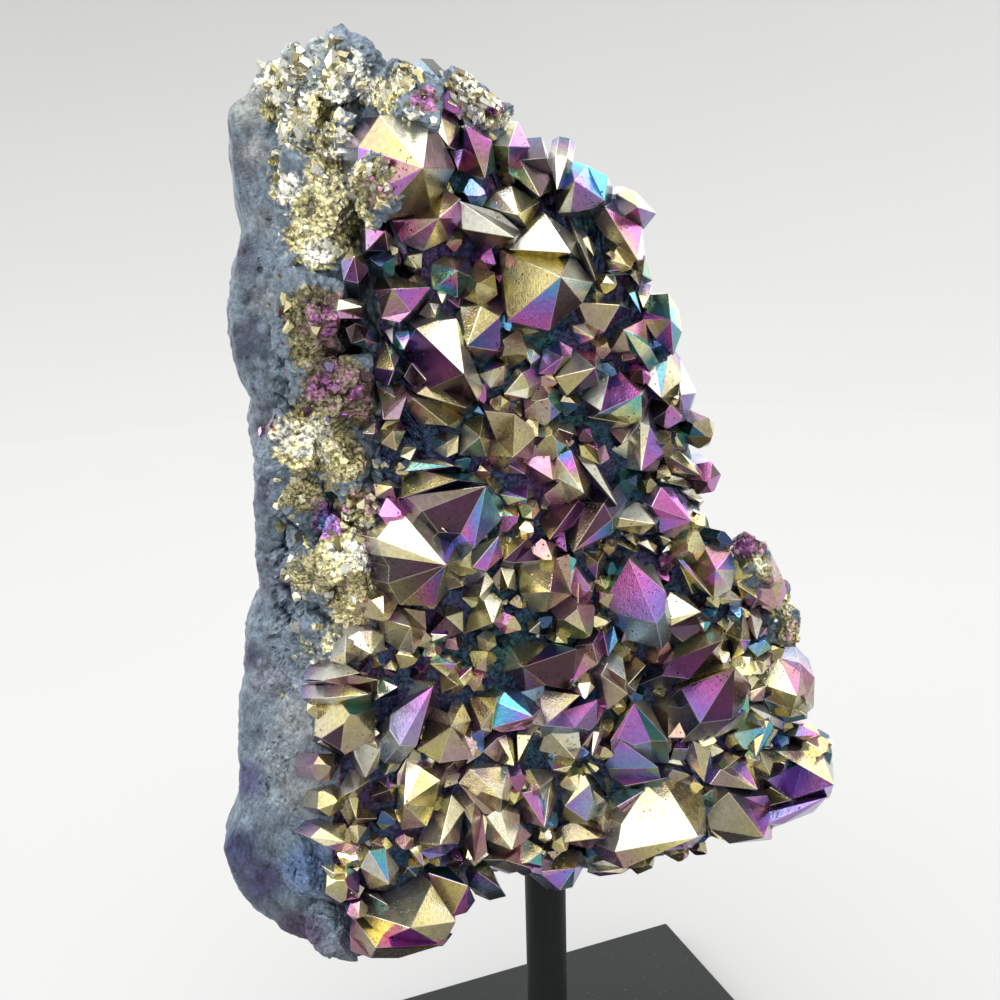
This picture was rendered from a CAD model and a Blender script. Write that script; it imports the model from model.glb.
# %% [markdown]
# # A rainbow-coated amethyst cluster on its stand
# The real piece is a slab of geode rock with quartz points on its front. A very thin film of metal
# makes the quartz shine like petrol on water: gold, magenta, blue and teal. A black steel rod,
# standing on a black plate, goes up into a hole drilled in the slab.
#
# The solids come first and stay where they are. This script dresses them: the stand keeps its
# solids and gets paint, and the cluster gets a finer mesh made in the same place.

# %% Load the solids
import itertools
import math
import random
from typing import NamedTuple

import bmesh
import bpy
import numpy as np
from mathutils import Matrix, Vector, noise


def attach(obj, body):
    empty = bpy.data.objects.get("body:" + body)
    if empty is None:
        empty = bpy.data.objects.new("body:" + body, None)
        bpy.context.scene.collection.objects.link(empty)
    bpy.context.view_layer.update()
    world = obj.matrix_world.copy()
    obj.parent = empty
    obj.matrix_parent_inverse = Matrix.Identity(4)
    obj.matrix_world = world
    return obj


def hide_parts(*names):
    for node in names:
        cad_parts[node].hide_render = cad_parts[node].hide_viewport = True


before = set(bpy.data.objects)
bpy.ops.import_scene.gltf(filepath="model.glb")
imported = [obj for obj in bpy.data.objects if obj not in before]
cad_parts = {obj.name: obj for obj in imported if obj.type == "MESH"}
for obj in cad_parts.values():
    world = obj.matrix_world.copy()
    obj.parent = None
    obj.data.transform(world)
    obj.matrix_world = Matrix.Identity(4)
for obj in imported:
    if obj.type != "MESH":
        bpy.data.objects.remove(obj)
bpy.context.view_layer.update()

# %% [markdown]
# ## The viewpoint
# Every crystal has its own place, size and tilt, so the cluster has to be laid out crystal by
# crystal. That is easiest on a square sheet of glass in front of the eye, 1000 units a side, where
# the left, the top and the size of a crystal can be read off. One function then turns a place on
# the sheet into a place on the slab. The camera stands at the same eye.

# %% The eye, and the way from its sheet to the slab
EYE = Vector((-0.0983, -0.2241, 0.2310))
SHEET = 1000.0
FOCAL = 1200.0
EYE_YAW = math.radians(21.8)
EYE_PITCH = math.radians(15.9)
EYE_ROLL = math.radians(1.6)
SHEET_UNIT = 0.000225  # what one unit of the sheet spans on the slab


def eye_axes():
    level_right = Vector((math.cos(EYE_YAW), -math.sin(EYE_YAW), 0))
    level_forward = Vector((math.sin(EYE_YAW), math.cos(EYE_YAW), 0))
    forward = level_forward * math.cos(EYE_PITCH) - Vector((0, 0, math.sin(EYE_PITCH)))
    level_up = level_right.cross(forward)
    right = level_right * math.cos(EYE_ROLL) - level_up * math.sin(EYE_ROLL)
    up = level_right * math.sin(EYE_ROLL) + level_up * math.cos(EYE_ROLL)
    return right, up, forward


RIGHT, UP, FORWARD = eye_axes()


def sight(x, y):
    """The way from the eye through a place on the sheet."""
    return RIGHT * (x - SHEET / 2) + UP * (SHEET / 2 - y) + FORWARD * FOCAL


def on_slab(x, y, depth):
    """The point seen at x, y of the sheet, on the upright plane at this depth."""
    way = sight(x, y)
    return EYE + way * ((depth - EYE.y) / way.y)


print("one sheet unit at the slab:", round((on_slab(501, 500, -0.02) - on_slab(500, 500, -0.02)).length, 6))

# %% [markdown]
# ## Camera
# The camera is a plain perspective one. A 36 mm sensor and this focal length give the same
# picture as the sheet of glass. The stand leans a little in the picture, so the camera is rolled.

# %% Camera
camera_data = bpy.data.cameras.new("camera")
camera_data.sensor_width = 36
camera_data.lens = 36 * FOCAL / SHEET
camera_data.clip_start = 0.01
camera = bpy.data.objects.new("camera", camera_data)
turn = Matrix((RIGHT, UP, -FORWARD)).transposed().to_4x4()
camera.matrix_world = Matrix.Translation(EYE) @ turn
bpy.context.scene.collection.objects.link(camera)
bpy.context.scene.camera = camera
bpy.context.scene.view_settings.view_transform = "Standard"
print("lens:", round(camera_data.lens, 1), "mm")

# %% [markdown]
# ## A small language for finishes
# Blender's materials are graphs of nodes. Writing each node by hand hides the idea, so a value in
# a graph is wrapped here: adding or multiplying two of them adds the Math node that does it. Any
# other node comes from one method, which takes the node's type, its settings and its inputs.

# %% Values and nodes of a material


class Value:
    """A socket that takes part in sums."""

    def __init__(self, tree, socket):
        self.tree = tree
        self.socket = socket

    def combine(self, operation, first, second):
        return add_node(self.tree, "ShaderNodeMath", {"operation": operation},
                        {0: first, 1: second})

    def __add__(self, other):
        return self.combine("ADD", self, other)

    def __radd__(self, other):
        return self.combine("ADD", other, self)

    def __sub__(self, other):
        return self.combine("SUBTRACT", self, other)

    def __rsub__(self, other):
        return self.combine("SUBTRACT", other, self)

    def __mul__(self, other):
        return self.combine("MULTIPLY", self, other)

    def __rmul__(self, other):
        return self.combine("MULTIPLY", other, self)

    def __truediv__(self, other):
        return self.combine("DIVIDE", self, other)

    def at_most(self, other):
        return self.combine("MINIMUM", self, other)

    def at_least(self, other):
        return self.combine("MAXIMUM", self, other)


def add_node(tree, kind, settings, inputs, output=0):
    """Adds a node: its settings first, then the values or links of its sockets."""
    node = tree.nodes.new(kind)
    for name, value in settings.items():
        if name == "stops":
            set_stops(node.color_ramp, value)
        else:
            setattr(node, name, value)
    for key, value in inputs.items():
        if isinstance(value, Value):
            tree.links.new(value.socket, node.inputs[key])
        else:
            node.inputs[key].default_value = value
    return Value(tree, node.outputs[output])


def set_stops(ramp, stops):
    """Gives a colour ramp its stops, each (place, (red, green, blue))."""
    while len(ramp.elements) > 1:
        ramp.elements.remove(ramp.elements[-1])
    ramp.elements[0].position = stops[0][0]
    ramp.elements[0].color = (*stops[0][1], 1)
    for place, colour in stops[1:]:
        ramp.elements.new(place).color = (*colour, 1)


class Finish:
    """A material with one Principled shader."""

    def __init__(self, name, **constants):
        self.material = bpy.data.materials.new(name)
        self.material.use_nodes = True
        self.tree = self.material.node_tree
        self.shader = self.tree.nodes["Principled BSDF"]
        for socket, value in constants.items():
            self.shader.inputs[socket.replace("_", " ")].default_value = value

    def node(self, kind, settings=None, inputs=None, output=0):
        return add_node(self.tree, kind, settings or {}, inputs or {}, output)

    def place(self):
        """The object's own coordinates, in metres."""
        return self.node("ShaderNodeTexCoord", output="Object")

    def noise(self, per_metre, detail=3.0, roughness=0.55, at=None):
        return self.node("ShaderNodeTexNoise", {}, {
            "Vector": at or self.place(), "Scale": per_metre, "Detail": detail,
            "Roughness": roughness})

    def cells(self, per_metre, at=None):
        """How far each place is from the nearest of many scattered centres."""
        return self.node("ShaderNodeTexVoronoi", {"feature": "F1"}, {
            "Vector": at or self.place(), "Scale": per_metre}, "Distance")

    def attribute(self, name, output="Fac"):
        return self.node("ShaderNodeAttribute", {"attribute_name": name}, {}, output)

    def ramp(self, factor, stops):
        return self.node("ShaderNodeValToRGB", {"stops": stops}, {"Fac": factor}, "Color")

    def step(self, value, low, high):
        """0 below low, 1 above high, and smooth between."""
        return self.node("ShaderNodeMapRange", {"interpolation_type": "SMOOTHSTEP"}, {
            "Value": value, "From Min": low, "From Max": high}, "Result")

    def mix(self, factor, first, second, how="MIX"):
        """Two colours mixed."""
        return self.node("ShaderNodeMix", {"data_type": "RGBA", "blend_type": how},
                         {0: factor, 6: first, 7: second}, 2)

    def dim(self, colour, amount):
        """A colour times a value."""
        grey = self.node("ShaderNodeCombineColor", {}, {0: amount, 1: amount, 2: amount})
        return self.mix(1.0, colour, grey, "MULTIPLY")

    def bump(self, height, distance, strength=1.0):
        return self.node("ShaderNodeBump", {}, {
            "Height": height, "Distance": distance, "Strength": strength}, "Normal")

    def drive(self, **sockets):
        for name, value in sockets.items():
            self.tree.links.new(value.socket, self.shader.inputs[name.replace("_", " ")])


print("finish helpers ready")

# %% [markdown]
# ## Studio
# Metal shows what is around it, so the room matters as much as the material. Here the room glows
# nearly evenly, as a light tent does, so every facet shows the colour of its own film. A big soft
# light overhead and a little to the left, and three weaker ones, make some facets flash. The floor
# is matt paper that runs into a curved sweep, which gives a plain background without a horizon.

# %% Room light
# Each light: where it is, the angles at which it starts to fade and ends, and its strength
SOFT_LIGHTS = (
    ((-0.40, -0.15, 0.90), 30, 48, 2.6),
    ((0.75, 0.10, 0.55), 14, 26, 2.0),
    ((-0.95, 0.25, 0.10), 14, 34, 1.2),
    ((0.35, 0.90, 0.15), 30, 70, 1.2),
)
ROOM_GLOW = 1.08
ROOM_COLOUR = (1.0, 0.995, 0.99, 1)


def light_the_room():
    """A room that glows evenly, with broad soft lights, as a function of direction."""
    world = bpy.data.worlds.new("room")
    bpy.context.scene.world = world
    world.use_nodes = True
    tree = world.node_tree
    direction = add_node(tree, "ShaderNodeTexCoord", {}, {}, "Generated")
    total = None
    for (x, y, z), inner, outer, strength in SOFT_LIGHTS:
        facing = add_node(tree, "ShaderNodeVectorMath", {"operation": "DOT_PRODUCT"},
                          {0: direction, 1: Vector((x, y, z)).normalized()}, "Value")
        glow = add_node(tree, "ShaderNodeMapRange", {"interpolation_type": "SMOOTHSTEP"}, {
            "Value": facing, "From Min": math.cos(math.radians(outer)),
            "From Max": math.cos(math.radians(inner)), "To Max": strength}, "Result")
        total = glow if total is None else total + glow
    background = tree.nodes["Background"]
    background.inputs["Color"].default_value = ROOM_COLOUR
    tree.links.new((total + ROOM_GLOW).socket, background.inputs["Strength"])


light_the_room()
print("soft lights:", len(SOFT_LIGHTS))

# %% Floor and sweep
FLOOR_MIDDLE = 0.3
FLOOR_REACH = 0.9
SWEEP_RADIUS = 1.2
SWEEP_TOP = 3.0
PAPER_STOPS = [(0.30, (0.366, 0.366, 0.365)), (0.75, (0.340, 0.340, 0.339)),
               (1.00, (0.330, 0.330, 0.329))]
PAPER_DRIFT = 0.04


def turned_sheet(name, profile, sides=96):
    """A sheet turned about Z from (radius, height) pairs."""
    verts, faces = [], []
    for radius, height in profile:
        for k in range(sides):
            angle = 2 * math.pi * k / sides
            verts.append((radius * math.cos(angle), radius * math.sin(angle), height))
    for ring in range(len(profile) - 1):
        for k in range(sides):
            after = (k + 1) % sides
            a, b = ring * sides, (ring + 1) * sides
            faces.append((a + k, a + after, b + after, b + k))
    mesh = bpy.data.meshes.new(name)
    mesh.from_pydata(verts, [], faces)
    mesh.shade_smooth()
    sheet = bpy.data.objects.new(name, mesh)
    bpy.context.scene.collection.objects.link(sheet)
    return sheet


def pale_paper(name):
    """Matt paper, palest around the stand, whose grey drifts a little."""
    paper = Finish(name, Roughness=0.9)
    away = paper.node("ShaderNodeVectorMath", {"operation": "LENGTH"}, {0: paper.place()}, "Value")
    grey = paper.ramp(away / FLOOR_REACH, PAPER_STOPS)
    drift = 1 - PAPER_DRIFT / 2 + PAPER_DRIFT * paper.noise(3.0)
    paper.drive(Base_Color=paper.dim(grey, drift))
    return paper.material


floor = turned_sheet("floor", [(0.0001, 0), (FLOOR_MIDDLE, 0), (FLOOR_REACH, 0)])
rise = [(FLOOR_REACH + SWEEP_RADIUS * math.sin(math.radians(a)),
         SWEEP_RADIUS - SWEEP_RADIUS * math.cos(math.radians(a))) for a in range(0, 91, 6)]
sweep = turned_sheet("sweep", rise + [(rise[-1][0], SWEEP_TOP)])
sweep.visible_shadow = False
sweep.visible_glossy = False
sweep.visible_diffuse = False
paper_finish = pale_paper("paper")
for sheet in (floor, sweep):
    sheet.data.materials.append(paper_finish)
print("floor and sweep made")

# %% [markdown]
# ## Laying out the crystals
# A cluster is recognised by its big crystals, so these are listed one by one. There are three
# kinds of listed shape. A Point is a regular quartz point: its middle, its radius, where its tip
# is seen, and the bearing of one of its three big faces. A Fan is a crystal that has grown
# unevenly, so it is given by its outline. A Lump is a broken stub on the wall at the left.

# %% The listed crystals


class Point(NamedTuple):
    """A quartz point on the sheet: its middle, its radius, its tip, one big face's bearing."""

    x: float
    y: float
    radius: float
    tip_x: float
    tip_y: float
    bearing: float


class Fan(NamedTuple):
    """A crystal by its outline: its tip, the corners of its foot with letters, its rise."""

    x: float
    y: float
    ring: tuple
    rise: float = 0.0


class Lump(NamedTuple):
    """A broken stub of quartz on the sheet, with the depth of its middle."""

    x: float
    y: float
    radius: float
    depth: float


POINTS = (
    # Top of the slab
    Point(619, 258, 15, 632, 268, 200),
    # Middle
    Point(545, 440, 20, 552, 434, 260), Point(664, 412, 18, 670, 405, 300),
    Point(540, 405, 20, 548, 398, 250),
    # Lower right
    Point(813, 747, 17, 824, 753, 60), Point(777, 760, 18, 786, 764, 100),
    # Lower left
    Point(345, 722, 29, 350, 713, 300), Point(342, 882, 17, 345, 880, 120),
    # Bottom middle
    Point(525, 855, 19, 522, 864, 60),
)
print("listed crystals:", len(POINTS))

# %% [markdown]
# ## Crystals by their outlines
# Real crystals crowd each other, so their outlines are uneven. Each Fan gives the place of the tip
# and then the corners of the foot, clockwise, as x, y and letters. The letters at a corner are for
# the facet between this corner and the next. The first is the film at the tip, the second at this
# corner and the third at the next corner, and a single letter stands for the whole facet.
# Neighbours with the same letters are one facet. The last number is how many sheet units the foot
# stands above the front of the slab.

# %% The crystals listed by their outlines
FANS = (
    # Top of the slab
    Fan(423, 168, ((381, 119, "w"), (428, 117, "c"), (452, 168, "o"), (430, 208, "z"), (376, 219, "m"),
         (361, 196, "bp"), (361, 148, "o")), 8),
    Fan(439, 218, ((394, 220, "b"), (437, 195, "yc"), (443, 190, "y"), (459, 200, "m"), (461, 217, "mp"),
         (448, 238, "y"), (424, 249, "m"), (403, 241, "bm")), 6),
    Fan(449, 147, ((427, 118, "w"), (442, 119, "cb"), (459, 128, "m"), (458, 150, "o"), (440, 150, "o"))),
    Fan(458, 170, ((450, 152, "p"), (463, 150, "o"), (465, 172, "k"), (452, 176, "k"))),
    Fan(485, 178, ((466, 127, "c"), (491, 142, "t"), (495, 168, "to"), (480, 185, "y"), (463, 173, "bp"))),
    Fan(509, 146, ((489, 126, "w"), (517, 123, "l"), (529, 147, "up"), (508, 170, "o"), (491, 158, "o"),
         (488, 145, "w"))),
    Fan(515, 238, ((462, 203, "s"), (500, 214, "s"), (520, 232, "s"), (512, 245, "b"), (485, 250, "d"),
         (464, 229, "w")), 4),
    Fan(518, 215, ((484, 206, "y"), (497, 193, "w"), (511, 187, "y"), (538, 202, "yc"), (528, 229, "s"),
         (505, 216, "s"))),
    Fan(457, 271, ((433, 264, "w"), (446, 256, "o"), (467, 258, "p"), (473, 278, "k"), (457, 296, "ot"),
         (434, 288, "t"), (432, 274, "u"))),
    Fan(417, 269, ((408, 256, "y"), (422, 254, "y"), (421, 268, "s"), (412, 272, "b"), (404, 264, "w"))),
    Fan(354, 256, ((342, 262, "y"), (352, 247, "y"), (362, 254, "o"), (368, 270, "d"), (358, 282, "dp"),
         (344, 279, "p"))),
    Fan(385, 231, ((366, 228, "d"), (388, 221, "d"), (394, 238, "b"), (388, 250, "d"), (367, 250, "m"))),
    # Upper right
    Fan(540, 197, ((509, 171, "o"), (521, 161, "d"), (546, 159, "d"), (552, 175, "o"), (553, 188, "k"),
         (530, 200, "k"))),
    Fan(557, 190, ((549, 160, "s"), (556, 156, "y"), (567, 158, "w"), (572, 163, "w"), (566, 187, "k"),
         (552, 191, "k"))),
    Fan(575, 181, ((555, 196, "pt"), (569, 161, "pt"), (587, 167, "pu"), (606, 177, "pu"), (603, 200, "p"),
         (590, 208, "p"), (571, 211, "s"), (559, 212, "o"))),
    Fan(638, 207, ((617, 195, "o"), (624, 188, "b"), (636, 193, "s"), (655, 213, "p"), (643, 228, "rb"),
         (620, 218, "b"))),
    Fan(637, 259, ((597, 223, "b"), (607, 210, "cm"), (641, 228, "m"), (644, 258, "o"), (637, 268, "o"),
         (605, 236, "b"))),
    Fan(632, 269, ((609, 271, "wu"), (624, 261, "o"), (638, 266, "d"), (632, 274, "k"), (615, 275, "k"))),
    Fan(643, 275, ((634, 264, "o"), (645, 256, "t"), (652, 280, "p"), (640, 286, "o"), (630, 274, "o"))),
    Fan(571, 253, ((545, 215, "wy"), (576, 238, "s"), (582, 262, "k"), (540, 263, "y"), (512, 249, "s"),
         (530, 231, "w")), -2),
    Fan(561, 277, ((502, 252, "bo"), (570, 255, "s"), (590, 283, "w"), (580, 302, "d"), (549, 328, "tm"),
         (510, 319, "bo"), (506, 285, "bo")), 6),
    Fan(620, 305, ((580, 303, "o"), (620, 299, "s"), (630, 310, "tr"), (604, 331, "b"), (588, 322, "b"))),
    Fan(597, 292, ((587, 296, "u"), (591, 284, "w"), (604, 295, "s"), (597, 302, "w"))),
    Fan(594, 256, ((581, 240, "y"), (588, 237, "w"), (596, 248, "k"), (590, 263, "b"), (584, 252, "b"))),
    Fan(596, 280, ((575, 232, "s"), (582, 238, "b"), (599, 275, "b"), (590, 282, "s"), (578, 252, "s"))),
    # Upper left
    Fan(392, 289, ((373, 291, "db"), (381, 272, "o"), (428, 288, "pm"), (410, 311, "b"), (399, 321, "b"),
         (382, 317, "b"), (379, 299, "r")), 4),
    Fan(464, 374, ((418, 330, "w"), (437, 323, "w"), (456, 321, "s"), (481, 386, "s"), (476, 399, "d"),
         (430, 387, "dp"), (404, 357, "dp")), 8),
    Fan(448, 426, ((414, 399, "o"), (440, 401, "oy"), (462, 417, "w"), (456, 429, "k"), (421, 423, "b"),
         (406, 405, "b")), 2),
    Fan(466, 408, ((419, 394, "z"), (432, 383, "z"), (458, 384, "z"), (474, 400, "z"), (464, 415, "z"),
         (440, 405, "z"))),
    Fan(467, 346, ((456, 318, "w"), (461, 308, "oy"), (481, 308, "bo"), (498, 318, "kp"), (499, 350, "b"),
         (480, 361, "o"), (464, 352, "s")), 2),
    Fan(442, 304, ((437, 292, "yw"), (447, 292, "s"), (446, 303, "k"), (438, 303, "s"))),
    Fan(458, 307, ((448, 299, "r"), (461, 297, "r"), (463, 308, "k"), (452, 311, "r"))),
    Fan(362, 307, ((340, 300, "w"), (352, 299, "y"), (366, 303, "k"), (362, 318, "b"), (341, 318, "b"),
         (338, 310, "y"))),
    Fan(365, 339, ((347, 329, "d"), (356, 324, "d"), (369, 329, "l"), (375, 343, "wu"), (367, 348, "k"),
         (352, 343, "d")), 2),
    Fan(392, 344, ((385, 331, "s"), (393, 328, "p"), (398, 334, "u"), (397, 346, "k"))),
    Fan(404, 350, ((395, 333, "st"), (413, 331, "p"), (410, 352, "k"), (394, 348, "t"))),
    Fan(394, 370, ((376, 368, "yc"), (386, 343, "yw"), (399, 358, "k"), (404, 374, "k"), (388, 385, "p"),
         (375, 378, "p"))),
    Fan(395, 397, ((378, 388, "s"), (391, 385, "pb"), (403, 384, "b"), (406, 396, "b"), (399, 418, "b"),
         (384, 418, "b"), (382, 403, "o"))),
    Fan(393, 431, ((381, 430, "o"), (386, 421, "o"), (400, 421, "bm"), (405, 431, "y"), (396, 450, "b"),
         (382, 443, "bo"))),
    Fan(427, 381, ((405, 377, "d"), (412, 364, "w"), (418, 366, "w"), (431, 384, "k"), (414, 388, "d"))),
    Fan(513, 457, ((485, 455, "y"), (481, 438, "y"), (497, 440, "o"), (486, 413, "o"), (514, 416, "o"),
         (537, 434, "b"), (531, 457, "z"), (500, 471, "z")), 2),
    Fan(480, 437, ((460, 454, "s"), (464, 424, "o"), (484, 413, "o"), (490, 440, "o"), (486, 456, "o"))),
    Fan(504, 394, ((503, 388, "w"), (516, 370, "w"), (522, 374, "so"), (528, 388, "w"), (527, 398, "wu"),
         (506, 404, "k"))),
    Fan(505, 366, ((480, 374, "ot"), (490, 360, "o"), (506, 359, "s"), (512, 362, "l"), (503, 384, "b"),
         (491, 387, "os"))),
    Fan(531, 364, ((521, 351, "y"), (526, 349, "u"), (533, 350, "w"), (540, 357, "s"), (530, 372, "k"))),
    Fan(447, 443, ((432, 436, "o"), (447, 432, "s"), (458, 436, "w"), (457, 452, "w"), (446, 457, "s"),
         (434, 450, "u"))),
    Fan(404, 448, ((399, 446, "s"), (408, 443, "w"), (416, 448, "o"), (410, 460, "o"), (400, 456, "s"))),
    Fan(374, 434, ((363, 433, "w"), (375, 423, "l"), (378, 432, "m"), (370, 440, "k"))),
    # Right of the middle
    Fan(545, 330, ((508, 322, "y"), (525, 325, "k"), (549, 328, "k"), (545, 338, "y"), (520, 335, "b"))),
    Fan(563, 357, ((540, 373, "pmu"), (544, 350, "pu"), (559, 342, "c"), (572, 349, "c"), (570, 357, "mo"),
         (554, 374, "pm")), 2),
    Fan(594, 338, ((573, 326, "s"), (584, 324, "y"), (593, 326, "w"), (597, 332, "k"), (594, 342, "w"),
         (578, 344, "wt"), (574, 332, "y"))),
    Fan(595, 368, ((557, 377, "s"), (575, 352, "c"), (597, 352, "s"), (602, 372, "k"), (598, 383, "d"),
         (568, 394, "bo")), 2),
    Fan(641, 394, ((600, 413, "mp"), (612, 365, "c"), (645, 388, "s"), (647, 402, "ts"), (641, 420, "t"),
         (629, 423, "t"), (612, 413, "p")), 6),
    Fan(601, 411, ((582, 398, "s"), (596, 384, "s"), (608, 378, "c"), (604, 416, "b"), (590, 415, "c"))),
    Fan(628, 424, ((590, 417, "z"), (612, 412, "b"), (640, 420, "b"), (612, 428, "o"))),
    Fan(661, 398, ((637, 374, "w"), (651, 369, "w"), (656, 366, "u"), (667, 362, "sy"), (680, 380, "y"),
         (676, 394, "s"), (665, 402, "k"), (655, 396, "l")), 4),
    Fan(654, 366, ((644, 366, "m"), (650, 359, "l"), (661, 359, "t"), (658, 368, "k"))),
    Fan(681, 395, ((676, 357, "s"), (694, 393, "p"), (686, 419, "p"), (678, 421, "s"), (680, 380, "s")),
         -3),
    Fan(679, 399, ((660, 402, "o"), (668, 396, "o"), (682, 396, "p"), (681, 414, "k"), (672, 417, "b"))),
    Fan(671, 320, ((646, 312, "j"), (653, 296, "j"), (668, 295, "t"), (678, 311, "t"), (681, 331, "u"),
         (673, 353, "mp"), (656, 338, "ry"), (644, 319, "rp")), 5),
    Fan(624, 329, ((616, 325, "c"), (644, 320, "c"), (646, 340, "gt"), (649, 347, "g"), (640, 356, "gt"),
         (630, 350, "b"), (611, 352, "o"), (611, 335, "b")), 4),
    Fan(639, 357, ((622, 350, "b"), (630, 349, "u"), (642, 356, "k"), (631, 364, "um"), (623, 361, "b"))),
    Fan(643, 308, ((638, 294, "y"), (649, 297, "y"), (648, 308, "k"), (641, 312, "k"))),
    Fan(641, 313, ((629, 294, "u"), (635, 292, "k"), (643, 310, "k"), (636, 312, "u"))),
    Fan(573, 434, ((548, 425, "w"), (572, 423, "s"), (578, 436, "k"), (567, 448, "d"), (556, 440, "d"))),
    Fan(598, 450, ((578, 438, "po"), (593, 436, "pu"), (604, 444, "b"), (609, 458, "b"), (600, 464, "po"),
         (582, 456, "po")), 3),
    Fan(641, 471, ((613, 449, "w"), (629, 439, "w"), (640, 424, "w"), (649, 428, "mp"), (663, 452, "p"),
         (655, 470, "k"), (626, 467, "w")), 5),
    Fan(622, 444, ((609, 430, "b"), (630, 429, "s"), (634, 436, "k"), (614, 449, "d"))),
    # Left of the middle
    Fan(457, 480, ((404, 497, "yo"), (406, 474, "yo"), (424, 471, "y"), (440, 472, "u"), (470, 474, "u"),
         (486, 484, "k"), (460, 492, "k")), 3),
    Fan(486, 486, ((409, 497, "d"), (457, 480, "d"), (490, 487, "t"), (501, 502, "tu"), (499, 519, "tup"),
         (473, 546, "tpm"), (461, 532, "d"), (440, 531, "d"), (425, 511, "z") ), 7),
    Fan(446, 565, ((384, 556, "y"), (380, 540, "yw"), (401, 513, "w"), (421, 519, "yw"), (437, 533, "l"),
         (456, 540, "o"), (466, 556, "o"), (447, 592, "o"), (433, 603, "umo"), (402, 602, "db"),
         (390, 582, "d"), (391, 566, "d")), 6),
    Fan(448, 533, ((422, 514, "w"), (428, 511, "d"), (452, 533, "k"), (436, 532, "wu")), 6),
    Fan(392, 487, ((374, 484, "y"), (390, 480, "w"), (400, 488, "k"), (396, 500, "b"), (377, 496, "yc"))),
    Fan(455, 466, ((407, 471, "t"), (414, 462, "w"), (435, 459, "l"), (460, 462, "w"), (468, 470, "k"),
         (430, 472, "l"))),
    Fan(499, 536, ((474, 566, "o"), (470, 548, "o"), (480, 541, "o"), (500, 526, "o"), (507, 536, "o"),
         (502, 556, "um"), (487, 569, "um")), 2),
    Fan(527, 539, ((504, 560, "oy"), (507, 537, "y"), (528, 535, "p"), (534, 545, "d"), (540, 560, "d"),
         (515, 562, "d"))),
    Fan(527, 499, ((502, 495, "l"), (507, 491, "lr"), (527, 486, "w"), (534, 496, "k"), (525, 507, "go"),
         (508, 504, "g")), 1),
    Fan(480, 597, ((462, 597, "o"), (470, 586, "o"), (485, 572, "w"), (493, 582, "s"), (485, 603, "o"),
         (472, 607, "o")), 1),
    Fan(463, 586, ((454, 576, "w"), (463, 573, "y"), (468, 583, "k"), (462, 590, "d"), (446, 590, "b"))),
    Fan(493, 623, ((464, 633, "o"), (470, 616, "o"), (483, 597, "w"), (493, 594, "w"), (501, 601, "y"),
         (503, 611, "b"), (500, 628, "k")), 2),
    Fan(508, 588, ((501, 568, "y"), (514, 570, "s"), (516, 590, "k"), (500, 592, "o"), (492, 580, "o"))),
    Fan(411, 627, ((379, 618, "s"), (398, 608, "y"), (403, 609, "z"), (424, 612, "z"), (425, 630, "b"),
         (413, 652, "o"), (399, 648, "z"), (384, 638, "z")), 3),
    Fan(446, 617, ((430, 634, "d"), (436, 612, "o"), (448, 604, "o"), (462, 612, "s"), (462, 631, "d"),
         (448, 636, "d"))),
    Fan(448, 635, ((430, 634, "l"), (438, 628, "l"), (452, 632, "k"), (444, 642, "gt"), (433, 641, "w")),
         1),
    Fan(371, 654, ((346, 640, "s"), (360, 632, "o"), (372, 631, "w"), (383, 636, "s"), (384, 650, "o"),
         (358, 662, "w")), 1),
    # Middle
    Fan(584, 493, ((566, 503, "yw"), (555, 476, "w"), (558, 458, "wu"), (571, 452, "b"), (590, 480, "b"),
         (590, 500, "k"), (578, 503, "c")), 4),
    Fan(563, 480, ((545, 482, "s"), (563, 479, "o"), (565, 502, "o"), (550, 503, "o"), (545, 495, "b"))),
    Fan(549, 540, ((533, 508, "bd"), (577, 502, "dp"), (584, 506, "dp"), (581, 520, "c"), (562, 534, "b")),
         1),
    Fan(573, 552, ((565, 534, "b"), (584, 504, "bd"), (603, 505, "d"), (611, 520, "cj"), (611, 533, "c"),
         (585, 549, "w"), (578, 556, "k")), 3),
    Fan(567, 552, ((554, 543, "pm"), (564, 533, "g"), (568, 545, "k"), (560, 552, "m")), 2),
    Fan(603, 502, ((587, 495, "l"), (600, 492, "r"), (607, 500, "m"), (598, 505, "k"))),
    Fan(617, 505, ((583, 464, "s"), (596, 466, "s"), (618, 498, "o"), (612, 510, "s"), (600, 490, "s"))),
    Fan(656, 524, ((615, 517, "s"), (620, 514, "s"), (636, 503, "w"), (645, 506, "w"), (659, 519, "k"),
         (655, 530, "b"), (641, 534, "bo"), (614, 527, "ob")), 3),
    Fan(691, 521, ((653, 507, "mr"), (662, 489, "r"), (672, 489, "l"), (686, 500, "o"), (696, 522, "o"),
         (688, 530, "k"), (674, 537, "m"), (661, 531, "mp"), (660, 518, "pr")), 4),
    Fan(688, 487, ((663, 473, "w"), (685, 479, "s"), (692, 486, "k"), (686, 492, "k"), (662, 482, "w"))),
    Fan(700, 502, ((682, 491, "w"), (693, 489, "w"), (704, 500, "o"), (698, 508, "k"), (686, 498, "c"))),
    Fan(700, 475, ((663, 453, "z"), (680, 452, "z"), (702, 470, "o"), (705, 485, "z"), (672, 472, "z")),
         -1),
    Fan(629, 559, ((606, 601, "t"), (607, 580, "o"), (622, 555, "s"), (636, 556, "s"), (652, 566, "s"),
         (664, 592, "rp"), (663, 610, "rp"), (655, 621, "r"), (619, 612, "r")), 5),
    Fan(628, 622, ((610, 605, "d"), (655, 621, "b"), (641, 635, "b"), (622, 641, "d"), (614, 628, "d")),
         -1),
    Fan(550, 592, ((518, 566, "y"), (555, 560, "mc"), (568, 556, "mc"), (570, 594, "mo"), (554, 605, "o"),
         (546, 610, "w"), (533, 611, "w"), (522, 593, "yb")), 5),
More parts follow.
